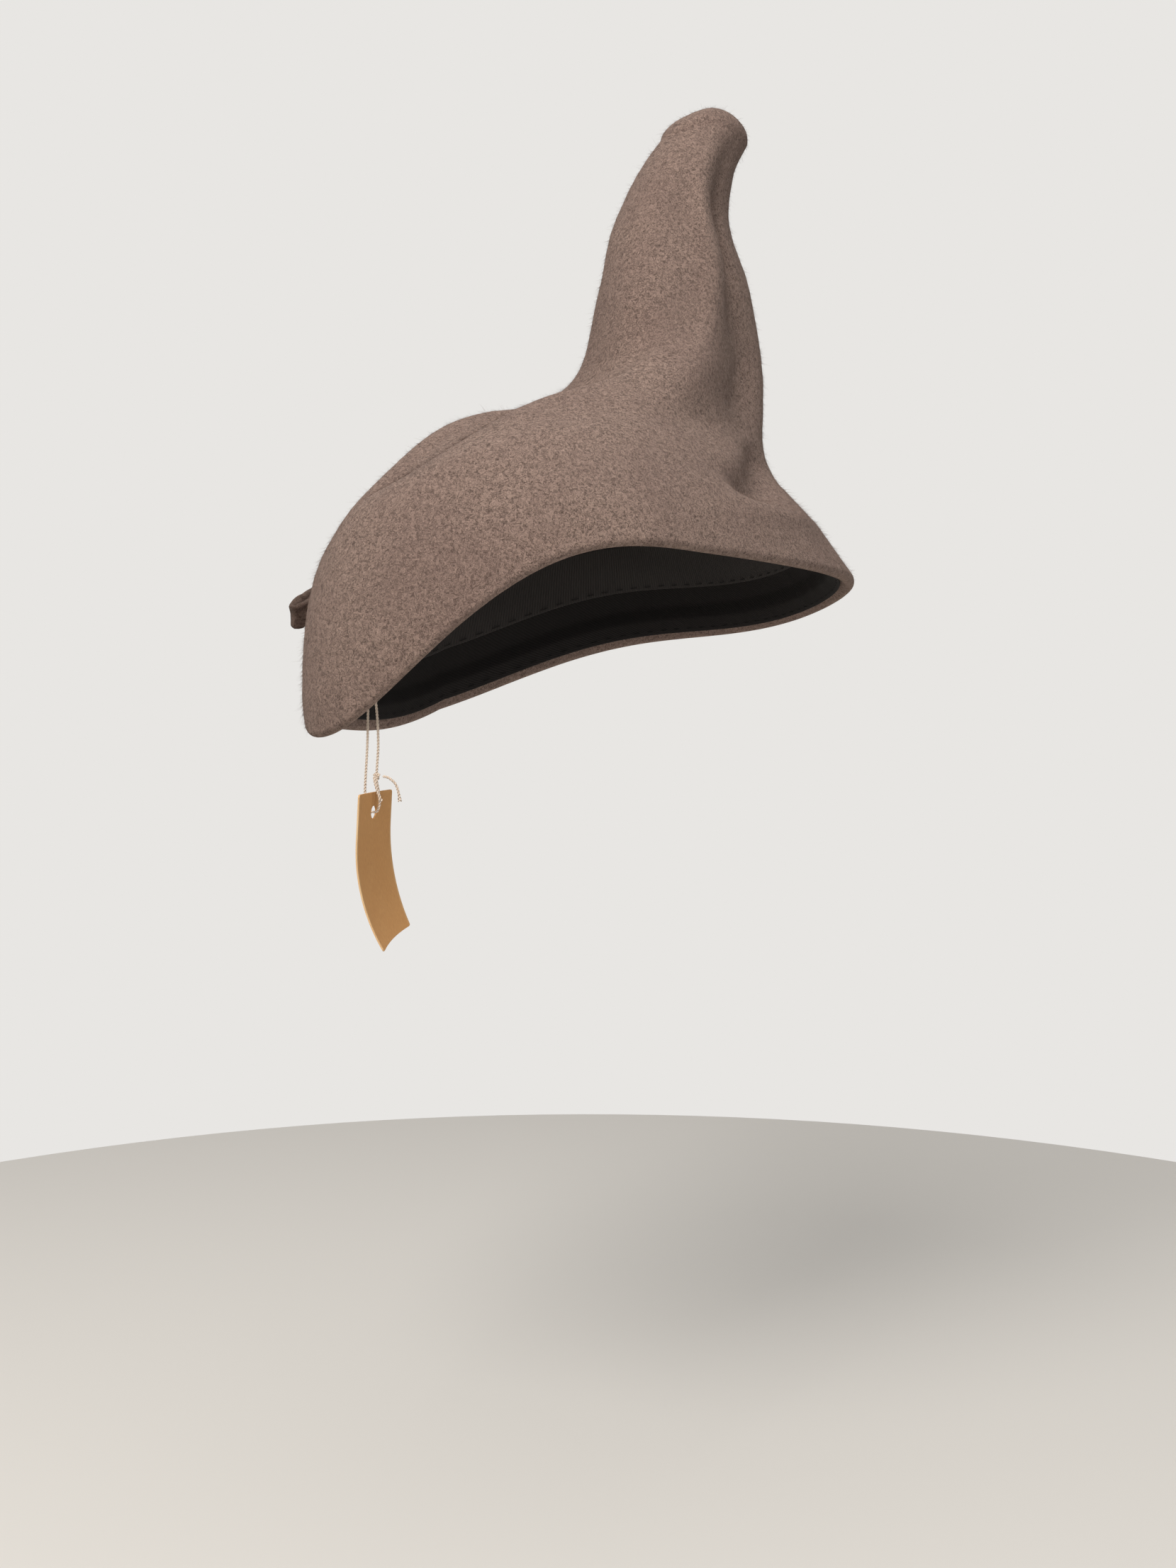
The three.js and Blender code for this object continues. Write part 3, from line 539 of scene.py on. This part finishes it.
# %% Lining tip
TIP_CENTRE = ring_point(np.full(4, LINING_TOP), np.arange(4) * 90.0).mean(axis=0)
tip_angles = np.arange(240) * 1.5
tip_edge = under(LINING_TOP - 0.05, tip_angles, LINING_DEPTH + LINING + CLEARANCE)
spread = np.linspace(0, 1, 30)
disc = TIP_CENTRE + (tip_edge - TIP_CENTRE)[:, None] * spread[None, :, None]
pucker = 0.35 * MM * np.sin(np.radians(tip_angles) * 60)[:, None] * spread[None, :] ** 6
upper = disc + np.array([0, 0, 1]) * pucker[..., None]
lower = upper - np.array([0, 0, LINING])
tip_grid = np.concatenate([upper, lower[:, ::-1]], axis=1)
tip_uv = tip_grid[..., :2]
lining_tip = new_mesh("lining_tip_satin", tip_grid,
                      outward_faces(tip_grid, [tuple(f) for f in grid_faces(240, tip_grid.shape[1])]), tip_uv)
weld = lining_tip.modifiers.new("weld", "WELD")
weld.merge_threshold = 0.00001

# %% [markdown]
# ## Hand stitches
# The ribbon and the facing are sewn in by hand with small running stitches in a dark thread, about 6 mm
# apart. Each stitch is a short tube that dips into the cloth at both ends.

# %% Stitches
STITCH, STITCH_GAP, STITCH_THREAD = 2.6 * MM, 6 * MM, 0.16 * MM


def running_stitches(name, height, depth, length_round):
    count = int(length_round / STITCH_GAP)
    step = 360 / count
    parts = []
    for k in range(count):
        share = np.linspace(-0.5, 0.5, 6)
        angle = k * step + share * step * STITCH / STITCH_GAP
        lift = 0.3 * MM * np.cos(share * math.pi) ** 0.5 - 0.15 * MM
        at = up(height, angle)
        line = under(at[np.arange(6)], angle, depth + np.nan_to_num(lift))
        parts.append(tube(line, STITCH_THREAD, 5))
    return new_mesh(name, *join_parts(parts))


band_stitches = running_stitches("sweatband_stitches", BAND_LOW + 1.6 * MM, BAND_DEPTH + RIBBON + 0.5 * MM,
                                 sweatband_flat[0])
facing_stitches = running_stitches("rim_facing_stitches", FACING_LOW + 1.8 * MM,
                                   FACING_CLEARANCE + RIM_THICKNESS + RIBBON + 0.2 * MM, facing_flat[0])
print("stitches:", len(band_stitches.data.polygons) + len(facing_stitches.data.polygons), "faces")

# %% [markdown]
# ## The felt bow
# Two loops and two tails cut from the same felt, with a short strip wrapped round the middle. Each loop is
# a strip bent back on itself, so it is drawn as a strip's rounded section carried along a teardrop.

# %% Bow frame and strips
BOW_ANGLE, BOW_HEIGHT, BOW_SLOPE = 241, 62 * MM, math.radians(30)
bow_at = up(BOW_HEIGHT, BOW_ANGLE)[0]
BOW_OUT = outward(bow_at, BOW_ANGLE)
upright = np.array([0, 0, 1]) - BOW_OUT * BOW_OUT[2]
upright /= np.linalg.norm(upright)
BOW_UP = upright * math.cos(BOW_SLOPE) - np.cross(BOW_OUT, upright) * math.sin(BOW_SLOPE)
BOW_ALONG = np.cross(BOW_UP, BOW_OUT)
knot_low, knot_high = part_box("trim_knot")
BOW_MIDDLE = np.array((knot_low + knot_high) / 2)
print("bow at ring", round(float(bow_at), 2), "looks out along", BOW_OUT.round(2))
BOW_RIBBON, BOW_THICKNESS = 11 * MM, 2.6 * MM
LOOP_LENGTH, LOOP_BELLY = 33 * MM, 13 * MM
LUMP_SIZE, LUMP_HEIGHT = 5 * MM, 1.6 * MM


def strip(path, width_way, width, thickness, sides=20):
    """A strip with rounded edges along a path; width_way is the direction of its width at each point."""
    tangent = np.gradient(path, axis=0)
    tangent /= np.linalg.norm(tangent, axis=1)[:, None]
    wide = width_way - tangent * (width_way * tangent).sum(axis=1)[:, None]
    wide /= np.linalg.norm(wide, axis=1)[:, None]
    thin = np.cross(tangent, wide)
    turn_round = np.linspace(0, 2 * math.pi, sides, endpoint=False)
    c, s = np.cos(turn_round), np.sin(turn_round)
    x = np.sign(c) * np.abs(c) ** 0.45
    y = np.sign(s) * np.abs(s) ** 0.7
    width = np.broadcast_to(width, len(path))[:, None, None]
    thickness = np.broadcast_to(thickness, len(path))[:, None, None]
    points = path[:, None] + wide[:, None] * x[None, :, None] * width / 2 \
        + thin[:, None] * y[None, :, None] * thickness / 2
    faces = [tuple(f) for f in grid_faces(len(path), sides, close_rows=False, close_columns=True)]
    faces += [tuple(range(sides)), tuple(range(len(path) * sides - 1, (len(path) - 1) * sides - 1, -1))]
    return points.reshape(-1, 3), outward_faces(points, faces[:-2]) + faces[-2:]


def placed(local):
    """From the bow's own directions (along, out, up) to the hat's."""
    local = np.asarray(local, float)
    return BOW_MIDDLE + local @ np.array([BOW_ALONG, BOW_OUT, BOW_UP])


def bow_loop(name, side):
    half, belly = LOOP_LENGTH, LOOP_BELLY - BOW_THICKNESS
    corners = [(0.02, 0.1), (0.3, 0.16), (0.62, 0.15), (0.9, 0.2), (1.03, 0), (0.9, -0.2), (0.62, -0.15),
               (0.3, -0.16), (0.02, -0.1)]
    points = [(side * (3.5 * MM + x * half), y * belly, 0) for x, y in corners]
    path = smooth_path(points, 0.7 * MM)
    share = np.clip(np.abs(path[:, 0]) / half, 0, 1)
    path[:, 2] = -1.2 * MM * share ** 2 + 0.8 * MM * np.sin(share * 5) * side
    width = BOW_RIBBON * (0.72 + 0.28 * np.clip(share * 2.2, 0, 1))
    way = np.tile(BOW_UP + 0.05 * BOW_OUT * side, (len(path), 1))
    points, faces = strip(placed(path), way, width, BOW_THICKNESS + 1 * MM * share ** 2)
    points += [noise.noise_vector(Vector(p / LUMP_SIZE)) * LUMP_HEIGHT for p in points]
    made = new_mesh(name, points, faces)
    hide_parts("trim_loop_rear" if side > 0 else "trim_loop_front")
    return made, path_length(path)


loop_rear, loop_flat = bow_loop("bow_loop_rear", 1)
loop_front, _ = bow_loop("bow_loop_front", -1)

WRAP_WIDTH = 11 * MM
wrap_turn = np.linspace(0, 2 * math.pi, 61)
wrap = np.stack([0 * wrap_turn,
                 np.sign(np.cos(wrap_turn)) * np.abs(np.cos(wrap_turn)) ** 0.7 * 5.4 * MM,
                 np.sign(np.sin(wrap_turn)) * np.abs(np.sin(wrap_turn)) ** 0.7 * 5.6 * MM], axis=1)
wrap_points, wrap_faces = strip(placed(wrap), np.tile(BOW_ALONG, (61, 1)), WRAP_WIDTH, 2.2 * MM)
bow_knot = new_mesh("bow_knot_wrap", wrap_points, wrap_faces)
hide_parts("trim_knot")

TAIL_LENGTH = 25 * MM


def bow_tail(name, node, side):
    low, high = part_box(node)
    middle = np.array((low + high) / 2)
    down = middle - (BOW_MIDDLE - BOW_UP * 6 * MM)
    start = BOW_MIDDLE - BOW_UP * 4 * MM + BOW_ALONG * side * 2.5 * MM
    end = start + down / np.linalg.norm(down) * (TAIL_LENGTH + 4 * MM)
    bulge = BOW_OUT * 1.4 * MM
    path = smooth_path([start, start * 0.6 + end * 0.4 + bulge, start * 0.25 + end * 0.75 + bulge * 0.4, end],
                       0.7 * MM)
    share = np.linspace(0, 1, len(path))
    points, faces = strip(path, np.tile(np.cross(down, BOW_OUT), (len(path), 1)),
                          (6 + 6.5 * share) * MM, 2.2 * MM)
    made = new_mesh(name, points, faces)
    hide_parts(node)
    return made


tail_rear = bow_tail("bow_tail_rear", "trim_tail_rear", 1)
tail_front = bow_tail("bow_tail_front", "trim_tail_front", -1)
print("bow strips: loop", round(loop_flat, 4), "m long")

# %% [markdown]
# ## The card tag
# A kraft card about 56 by 31 mm with a punched hole, curled by age both along and across. A flat card cut
# with its hole as a triangle mesh can be bent by one formula, which keeps the hole round and the card's
# thickness even.

# %% Card tag
TAG_LENGTH, TAG_WIDTH, CARD = 56 * MM, 31 * MM, 0.6 * MM
HOLE_FROM_TOP, HOLE_RADIUS = 7.5 * MM, 2.5 * MM
HOLE_PLACE = from_anchor(HOLE)
CURL, STRAIGHT, TAG_LEAN, TAG_TILT = 74 * MM, 16 * MM, math.radians(5), math.radians(5)
SLANT = 0.18  # the card was cut askew at its lower end


def card_outline(step):
    """Points round the card, with slightly worn corners; y is 0 at the hole and falls."""
    top, bottom = HOLE_FROM_TOP, HOLE_FROM_TOP - TAG_LENGTH
    half, worn = TAG_WIDTH / 2, 0.9 * MM
    corners = [(-half, bottom), (half, bottom), (half, top), (-half, top)]
    points = []
    for k, corner in enumerate(corners):
        before, after = Vector(corners[k - 1]), Vector(corners[(k + 1) % 4])
        here = Vector(corner)
        a = here + (before - here).normalized() * worn
        b = here + (after - here).normalized() * worn
        points += [a, a * 0.3 + b * 0.3 + here * 0.4, b]
        c = after + (here - after).normalized() * worn
        count = int((c - b).length / step)
        points += [b + (c - b) * j / count for j in range(1, count)]
    return points


def flat_card(step):
    outline = card_outline(step)
    ring = [Vector((math.cos(a), math.sin(a))) * HOLE_RADIUS for a in np.linspace(0, 2 * math.pi, 28, False)]
    inside = []
    for x in np.arange(-TAG_WIDTH / 2 + step, TAG_WIDTH / 2 - step / 2, step):
        for y in np.arange(HOLE_FROM_TOP - TAG_LENGTH + step, HOLE_FROM_TOP - step / 2, step):
            if math.hypot(x, y) > HOLE_RADIUS + step * 0.5:
                inside.append(Vector((x, y)))
    n, m = len(outline), len(ring)
    edges = [(i, (i + 1) % n) for i in range(n)] + [(n + i, n + (i + 1) % m) for i in range(m)]
    verts, _, faces, *_ = geometry.delaunay_2d_cdt(outline + ring + inside, edges, [], 0, 1e-7)
    kept = [f for f in faces if (sum((verts[i] for i in f), Vector((0, 0))) / len(f)).length > HOLE_RADIUS * 0.99]
    return np.array([tuple(v) for v in verts]), kept


def bent(flat, offset):
    """Where a point of the flat card goes when the card is curled: x is its thickness way."""
    across, along = flat[:, 0], flat[:, 1]
    along = along + SLANT * across * along / TAG_LENGTH
    far = -across / TAG_WIDTH
    below = np.maximum(0, -(along - HOLE_FROM_TOP) - STRAIGHT + 5 * MM * far)
    radius = CURL * (1 + 0.25 * far)
    angle = below / radius
    x = radius * (1 - np.cos(angle)) + 5.5 * across ** 2 * (0.5 + 14 * below)
    y = along + below - radius * np.sin(angle)
    normal = np.stack([np.cos(angle), np.sin(angle)], axis=1)
    return np.stack([x + normal[:, 0] * offset, y + normal[:, 1] * offset, across], axis=1)


card_flat, card_faces = flat_card(1.5 * MM)
count = len(card_flat)
front_face, back_face = bent(card_flat, CARD / 2), bent(card_flat, -CARD / 2)
card_points = np.concatenate([front_face, back_face])
uses = {}
for f in card_faces:
    for a, b in zip(f, f[1:] + f[:1] if isinstance(f, list) else list(f[1:]) + [f[0]]):
        uses[(a, b)] = True
rim_edges = [(a, b) for a, b in uses if (b, a) not in uses]
all_faces = [tuple(f) for f in card_faces] + [tuple(i + count for i in reversed(f)) for f in card_faces]
all_faces += [(b, a, a + count, b + count) for a, b in rim_edges]
lean, tilt = Matrix.Rotation(-TAG_LEAN, 3, "Z"), Matrix.Rotation(TAG_TILT, 3, "X")
card_points = card_points @ np.array(tilt).T @ np.array(lean).T
card_points = HOLE_PLACE + card_points @ np.array([TURN, [0, 0, 1], -SIDE])
tag = new_mesh("card_tag", card_points, all_faces, np.concatenate([card_flat, card_flat]), smooth=False)
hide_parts("tag")
print("tag:", len(all_faces), "faces, box", [round(v * 1000, 1) for v in np.ptp(card_points, axis=0)], "mm")

# %% [markdown]
# ## Colour and material helpers
# Colours are written as the sRGB hex values a painter would pick, and one function turns them into the
# linear light that the renderer needs. One other function adds a node with its settings and its inputs,
# where an input is either a value or another node's output.

# %% Material helpers
def hex_colour(code):
    parts = [int(code[i:i + 2], 16) / 255 for i in (1, 3, 5)]
    return tuple(v / 12.92 if v <= 0.04045 else ((v + 0.055) / 1.055) ** 2.4 for v in parts) + (1.0,)


def add_node(material, kind, inputs=None, **settings):
    made = material.node_tree.nodes.new(kind)
    for name, value in settings.items():
        setattr(made, name, value)
    for key, value in (inputs or {}).items():
        if isinstance(value, bpy.types.NodeSocket):
            material.node_tree.links.new(value, made.inputs[key])
        else:
            made.inputs[key].default_value = value
    return made


def new_material(name):
    material = bpy.data.materials.new(name)
    material.use_nodes = True
    return material, material.node_tree.nodes["Principled BSDF"]


def stretch(material, value, low, high, to_low=0.0, to_high=1.0):
    """A noise widened so that low becomes to_low and high becomes to_high, and no further."""
    return add_node(material, "ShaderNodeMapRange", {"Value": value, "From Min": low, "From Max": high,
                                                     "To Min": to_low, "To Max": to_high}).outputs[0]


def put(piece, material):
    piece.data.materials.clear()
    piece.data.materials.append(material)


# %% [markdown]
# ## Wool and fur felt, and a darker copy with painted shade for the bow
# Felt has no threads: fibres of a few hundredths of a millimetre are matted in every direction, and the eye
# sees a warm grey-brown with flecks a millimetre or so across, lighter where the fibres catch the light.
# Three noises make it: broad handling marks, the fleck, and short streaks. Felt is rough and dielectric, so
# roughness is near 1 and a little sheen stands for the fibres that face away.

# %% Felt
def felt_material(name, light, middle, dark):
    material, surface = new_material(name)
    place = add_node(material, "ShaderNodeTexCoord").outputs["Object"]
    broad = add_node(material, "ShaderNodeTexNoise", {"Vector": place, "Scale": 24, "Detail": 3}).outputs[0]
    fleck = add_node(material, "ShaderNodeTexNoise", {"Vector": place, "Scale": 760, "Detail": 3,
                                                      "Roughness": 0.75, "Distortion": 1.2}).outputs[0]
    curl = add_node(material, "ShaderNodeTexNoise", {"Vector": place, "Scale": 1600, "Detail": 2,
                                                     "Distortion": 4.0}).outputs[0]
    speck = add_node(material, "ShaderNodeTexNoise", {"Vector": place, "Scale": 210, "Detail": 2}).outputs[0]
    fleck = stretch(material, fleck, 0.38, 0.58)
    curl = stretch(material, curl, 0.4, 0.6)
    height = add_node(material, "ShaderNodeMix", {0: 0.45, 2: fleck, 3: curl}).outputs[0]
    fine = add_node(material, "ShaderNodeMix", {0: height, 6: hex_colour(dark), 7: hex_colour(light)},
                    data_type="RGBA").outputs[2]
    handled = add_node(material, "ShaderNodeMix", {0: stretch(material, broad, 0.35, 0.65, 0, 0.3), 6: fine,
                                                   7: hex_colour(middle)}, data_type="RGBA").outputs[2]
    pits = add_node(material, "ShaderNodeMix", {0: stretch(material, speck, 0.7, 0.78, 0, 0.5), 6: handled,
                                                7: hex_colour(dark)}, data_type="RGBA").outputs[2]
    bump = add_node(material, "ShaderNodeBump", {"Strength": 0.8, "Distance": 0.0005, "Height": height})
    material.node_tree.links.new(pits, surface.inputs["Base Color"])
    material.node_tree.links.new(bump.outputs[0], surface.inputs["Normal"])
    surface.inputs["Roughness"].default_value = 0.95
    surface.inputs["Specular IOR Level"].default_value = 0.2
    surface.inputs["Sheen Weight"].default_value = 0.3
    surface.inputs["Sheen Roughness"].default_value = 0.4
    surface.inputs["Sheen Tint"].default_value = hex_colour("#C4B6AC")
    return material


felt = felt_material("fur_felt_taupe", "#BCA193", "#7D665F", "#33241F")
# painted shade: the bow is the same felt as the hood; its three colours are a darker copy of the hood's, standing
# in for the shade it sits in
bow_felt_painted_shade = felt_material("fur_felt_taupe_painted_shade", "#806A5F", "#57453F", "#251914")
for piece in (felt_hood, felt_nap):
    put(piece, felt)
for piece in (loop_rear, loop_front, bow_knot, tail_rear, tail_front):
    put(piece, bow_felt_painted_shade)

# %% [markdown]
# ## Cloths inside the hat
# The facing is a dark wool crepe, the ribbon is rayon grosgrain with ribs about 1 mm apart that run across
# it, and the lining is a satin with a soft gloss. All three colours are darker than the cloth itself: they
# also carry painted shade for the shadow inside the hat. The UVs are the cloth's own lengths in metres, so a
# wave texture with a scale in waves per metre gives ribs of a true size.

# %% Facing, grosgrain and satin
def cloth_material(name, light, dark, rib_spacing, rib_way, roughness, sheen, bump_height):
    material, surface = new_material(name)
    flat = add_node(material, "ShaderNodeUVMap", uv_map="cloth").outputs[0]
    place = add_node(material, "ShaderNodeTexCoord").outputs["Object"]
    rib = add_node(material, "ShaderNodeTexWave", {"Vector": flat, "Scale": 0.314 / rib_spacing,
                                                   "Distortion": 0.4, "Detail": 1},
                   bands_direction=rib_way).outputs["Fac"]
    fuzz = add_node(material, "ShaderNodeTexNoise", {"Vector": place, "Scale": 900, "Detail": 4}).outputs[0]
    height = add_node(material, "ShaderNodeMath", {0: rib, 1: fuzz}, operation="MULTIPLY")
    colour = add_node(material, "ShaderNodeMix", {0: height.outputs[0], 6: hex_colour(dark),
                                                  7: hex_colour(light)}, data_type="RGBA")
    bump = add_node(material, "ShaderNodeBump", {"Strength": 0.6, "Distance": bump_height, "Height": rib})
    link = material.node_tree.links.new
    link(colour.outputs[2], surface.inputs["Base Color"])
    link(bump.outputs[0], surface.inputs["Normal"])
    surface.inputs["Roughness"].default_value = roughness
    surface.inputs["Sheen Weight"].default_value = sheen
    return material


# painted shade: the facing, ribbon, lining and stitch colours are dark cloth darkened further to stand in for the
# shade inside the hat
crepe = cloth_material("wool_crepe_dark_painted_shade", "#1C1410", "#0B0706", 0.7 * MM, "DIAGONAL", 0.95, 0.02, 0.0002)
grosgrain = cloth_material("rayon_grosgrain_dark_painted_shade", "#2B1F19", "#130D0A", 1.0 * MM, "X", 0.7, 0.04, 0.0004)
satin = cloth_material("rayon_satin_dark_painted_shade", "#251A15", "#140E0B", 0.35 * MM, "Y", 0.45, 0.03, 0.00005)
put(facing, crepe)
put(sweatband, grosgrain)
put(lining, satin)
put(lining_tip, satin)
put(facing_stitches, crepe)
put(band_stitches, crepe)

# %% [markdown]
# ## Cotton thread, kraft card and drawn wire
# Cotton thread is an unbleached pale beige with fine fibres. Kraft card is brown pulp with long darker and
# lighter fibres, paler along edges that wear rubs. The wire inside the rim is drawn steel.

# %% Thread, card and wire
cotton, surface = new_material("cotton_thread_unbleached")
place = add_node(cotton, "ShaderNodeTexCoord").outputs["Object"]
lint = add_node(cotton, "ShaderNodeTexNoise", {"Vector": place, "Scale": 3000, "Detail": 3}).outputs[0]
tone = add_node(cotton, "ShaderNodeMix", {0: lint, 6: hex_colour("#B99E86"), 7: hex_colour("#EFE3D4")},
                data_type="RGBA")
grain = add_node(cotton, "ShaderNodeBump", {"Strength": 0.5, "Distance": 0.0001, "Height": lint})
cotton.node_tree.links.new(tone.outputs[2], surface.inputs["Base Color"])
cotton.node_tree.links.new(grain.outputs[0], surface.inputs["Normal"])
surface.inputs["Roughness"].default_value = 0.9
surface.inputs["Sheen Weight"].default_value = 0.3
for piece in [thread_loop, knot, bar] + tails:
    put(piece, cotton)

kraft, surface = new_material("kraft_card_brown")
flat = add_node(kraft, "ShaderNodeUVMap", uv_map="cloth").outputs[0]
apart = add_node(kraft, "ShaderNodeSeparateXYZ", {0: flat})
stretched = add_node(kraft, "ShaderNodeMapping", {"Vector": flat, "Scale": (2600, 500, 1)}).outputs[0]
fibre = add_node(kraft, "ShaderNodeTexNoise", {"Vector": stretched, "Scale": 1, "Detail": 5}).outputs[0]
cloud = add_node(kraft, "ShaderNodeTexNoise", {"Vector": flat, "Scale": 90, "Detail": 4}).outputs[0]
ground = add_node(kraft, "ShaderNodeMix", {0: cloud, 6: hex_colour("#D39C60"), 7: hex_colour("#DFAE74")},
                  data_type="RGBA")
specked = add_node(kraft, "ShaderNodeMix", {0: fibre, 6: hex_colour("#BA8550"), 7: ground.outputs[2]},
                   data_type="RGBA")
from_edge = add_node(kraft, "ShaderNodeMath", {0: apart.outputs[0]}, operation="ABSOLUTE")
worn = add_node(kraft, "ShaderNodeMapRange", {"Value": from_edge.outputs[0], "From Min": TAG_WIDTH / 2 - 0.0012,
                                              "From Max": TAG_WIDTH / 2 - 0.0001})
patchy = add_node(kraft, "ShaderNodeMath", {0: worn.outputs[0], 1: cloud}, operation="MULTIPLY")
card_tone = add_node(kraft, "ShaderNodeMix", {0: patchy.outputs[0], 6: specked.outputs[2],
                                              7: hex_colour("#E0C49A")}, data_type="RGBA")
press = add_node(kraft, "ShaderNodeBump", {"Strength": 0.3, "Distance": 0.0001, "Height": fibre})
kraft.node_tree.links.new(card_tone.outputs[2], surface.inputs["Base Color"])
kraft.node_tree.links.new(press.outputs[0], surface.inputs["Normal"])
surface.inputs["Roughness"].default_value = 0.82
put(tag, kraft)

steel, surface = new_material("drawn_steel_wire")
place = add_node(steel, "ShaderNodeTexCoord").outputs["Object"]
drawn = add_node(steel, "ShaderNodeTexNoise", {"Vector": place, "Scale": 2200, "Detail": 2}).outputs[0]
rough = add_node(steel, "ShaderNodeMapRange", {"Value": drawn, "To Min": 0.28, "To Max": 0.5})
steel.node_tree.links.new(rough.outputs[0], surface.inputs["Roughness"])
surface.inputs["Base Color"].default_value = hex_colour("#A6A6A8")
surface.inputs["Metallic"].default_value = 1
for node in ("rim_wire", "wire_joiner"):
    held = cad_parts[node]
    held.data.materials.clear()
    held.data.materials.append(steel)
print("materials:", len(bpy.data.materials))

# %% [markdown]
# ## What each piece rides on
# The thread swings from its bar and the tag turns on the thread, so those pieces ride on their own bodies;
# everything else is the hat.

# %% Bodies, the cord and the sheets
for piece in (felt_hood, felt_nap, facing, sweatband, lining, lining_tip, band_stitches, facing_stitches,
              loop_rear, loop_front, bow_knot, tail_rear, tail_front, bar):
    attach(piece, "hat")
for piece in [thread_loop, knot] + tails:
    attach(piece, "thread")
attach(tag, "tag")
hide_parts("felt_hood")
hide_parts("rim_facing")
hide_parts("sweatband")
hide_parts("crown_lining")
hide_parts("lining_tip")
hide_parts("thread_loop")

# %% [markdown]
# ## Stage and light
# A plain pale table below the hat and an even pale room. Felt shows its shape only in soft light that
# comes from one side more than the other, so a large lamp stands high to the left of the viewer, a weaker
# one fills from the right, and the room itself gives the rest.

# %% Stage
TABLE_HEIGHT, TABLE_RADIUS = -0.36, 0.72
bpy.ops.mesh.primitive_circle_add(vertices=128, radius=TABLE_RADIUS, fill_type="NGON",
                                  location=(0, 0, TABLE_HEIGHT))
table = bpy.context.object
table.name = "pale_table"
table_material, surface = new_material("painted_table_pale")
surface.inputs["Base Color"].default_value = hex_colour("#D9D6D1")
surface.inputs["Roughness"].default_value = 0.7
table.data.materials.append(table_material)

world = bpy.data.worlds.new("pale_room")
world.use_nodes = True
room = world.node_tree
background = room.nodes["Background"]
seen = room.nodes.new("ShaderNodeBackground")
seen.inputs["Color"].default_value = hex_colour("#E8E6E3")
background.inputs["Color"].default_value = hex_colour("#E8E6E3")
towards = room.nodes.new("ShaderNodeTexCoord")
height = room.nodes.new("ShaderNodeSeparateXYZ")
strength = room.nodes.new("ShaderNodeMapRange")
for key, value in {"From Min": -0.5, "From Max": 0.5, "To Min": 0.04, "To Max": 0.5}.items():
    strength.inputs[key].default_value = value
ray = room.nodes.new("ShaderNodeLightPath")
blend = room.nodes.new("ShaderNodeMixShader")
room.links.new(towards.outputs["Generated"], height.inputs[0])
room.links.new(height.outputs["Z"], strength.inputs["Value"])
room.links.new(strength.outputs[0], background.inputs["Strength"])
room.links.new(ray.outputs["Is Camera Ray"], blend.inputs[0])
room.links.new(background.outputs[0], blend.inputs[1])
room.links.new(seen.outputs[0], blend.inputs[2])
room.links.new(blend.outputs[0], room.nodes["World Output"].inputs[0])
bpy.context.scene.world = world
bpy.context.scene.view_settings.view_transform = "Standard"


def lamp(name, azimuth, height, distance, size, power, colour="#FFFFFF"):
    """A square soft lamp that faces the hat, placed by its angle round it."""
    data = bpy.data.lights.new(name, "AREA")
    data.size, data.energy, data.color = size, power, hex_colour(colour)[:3]
    made = bpy.data.objects.new(name, data)
    turned = math.radians(azimuth)
    made.location = (distance * math.sin(turned), -distance * math.cos(turned), height)
    made.rotation_euler = (Vector((0, 0, 0.1)) - made.location).to_track_quat("-Z", "Y").to_euler()
    bpy.context.scene.collection.objects.link(made)
    return made


lamp("window_left", 204, 1.1, 1.2, 0.8, 27, "#FFFBF6")
lamp("room_fill", 275, 0.2, 1.4, 1.0, 4.5)
lamp("ceiling", 230, 1.9, 0.3, 1.6, 6)
print("lamps: 3")
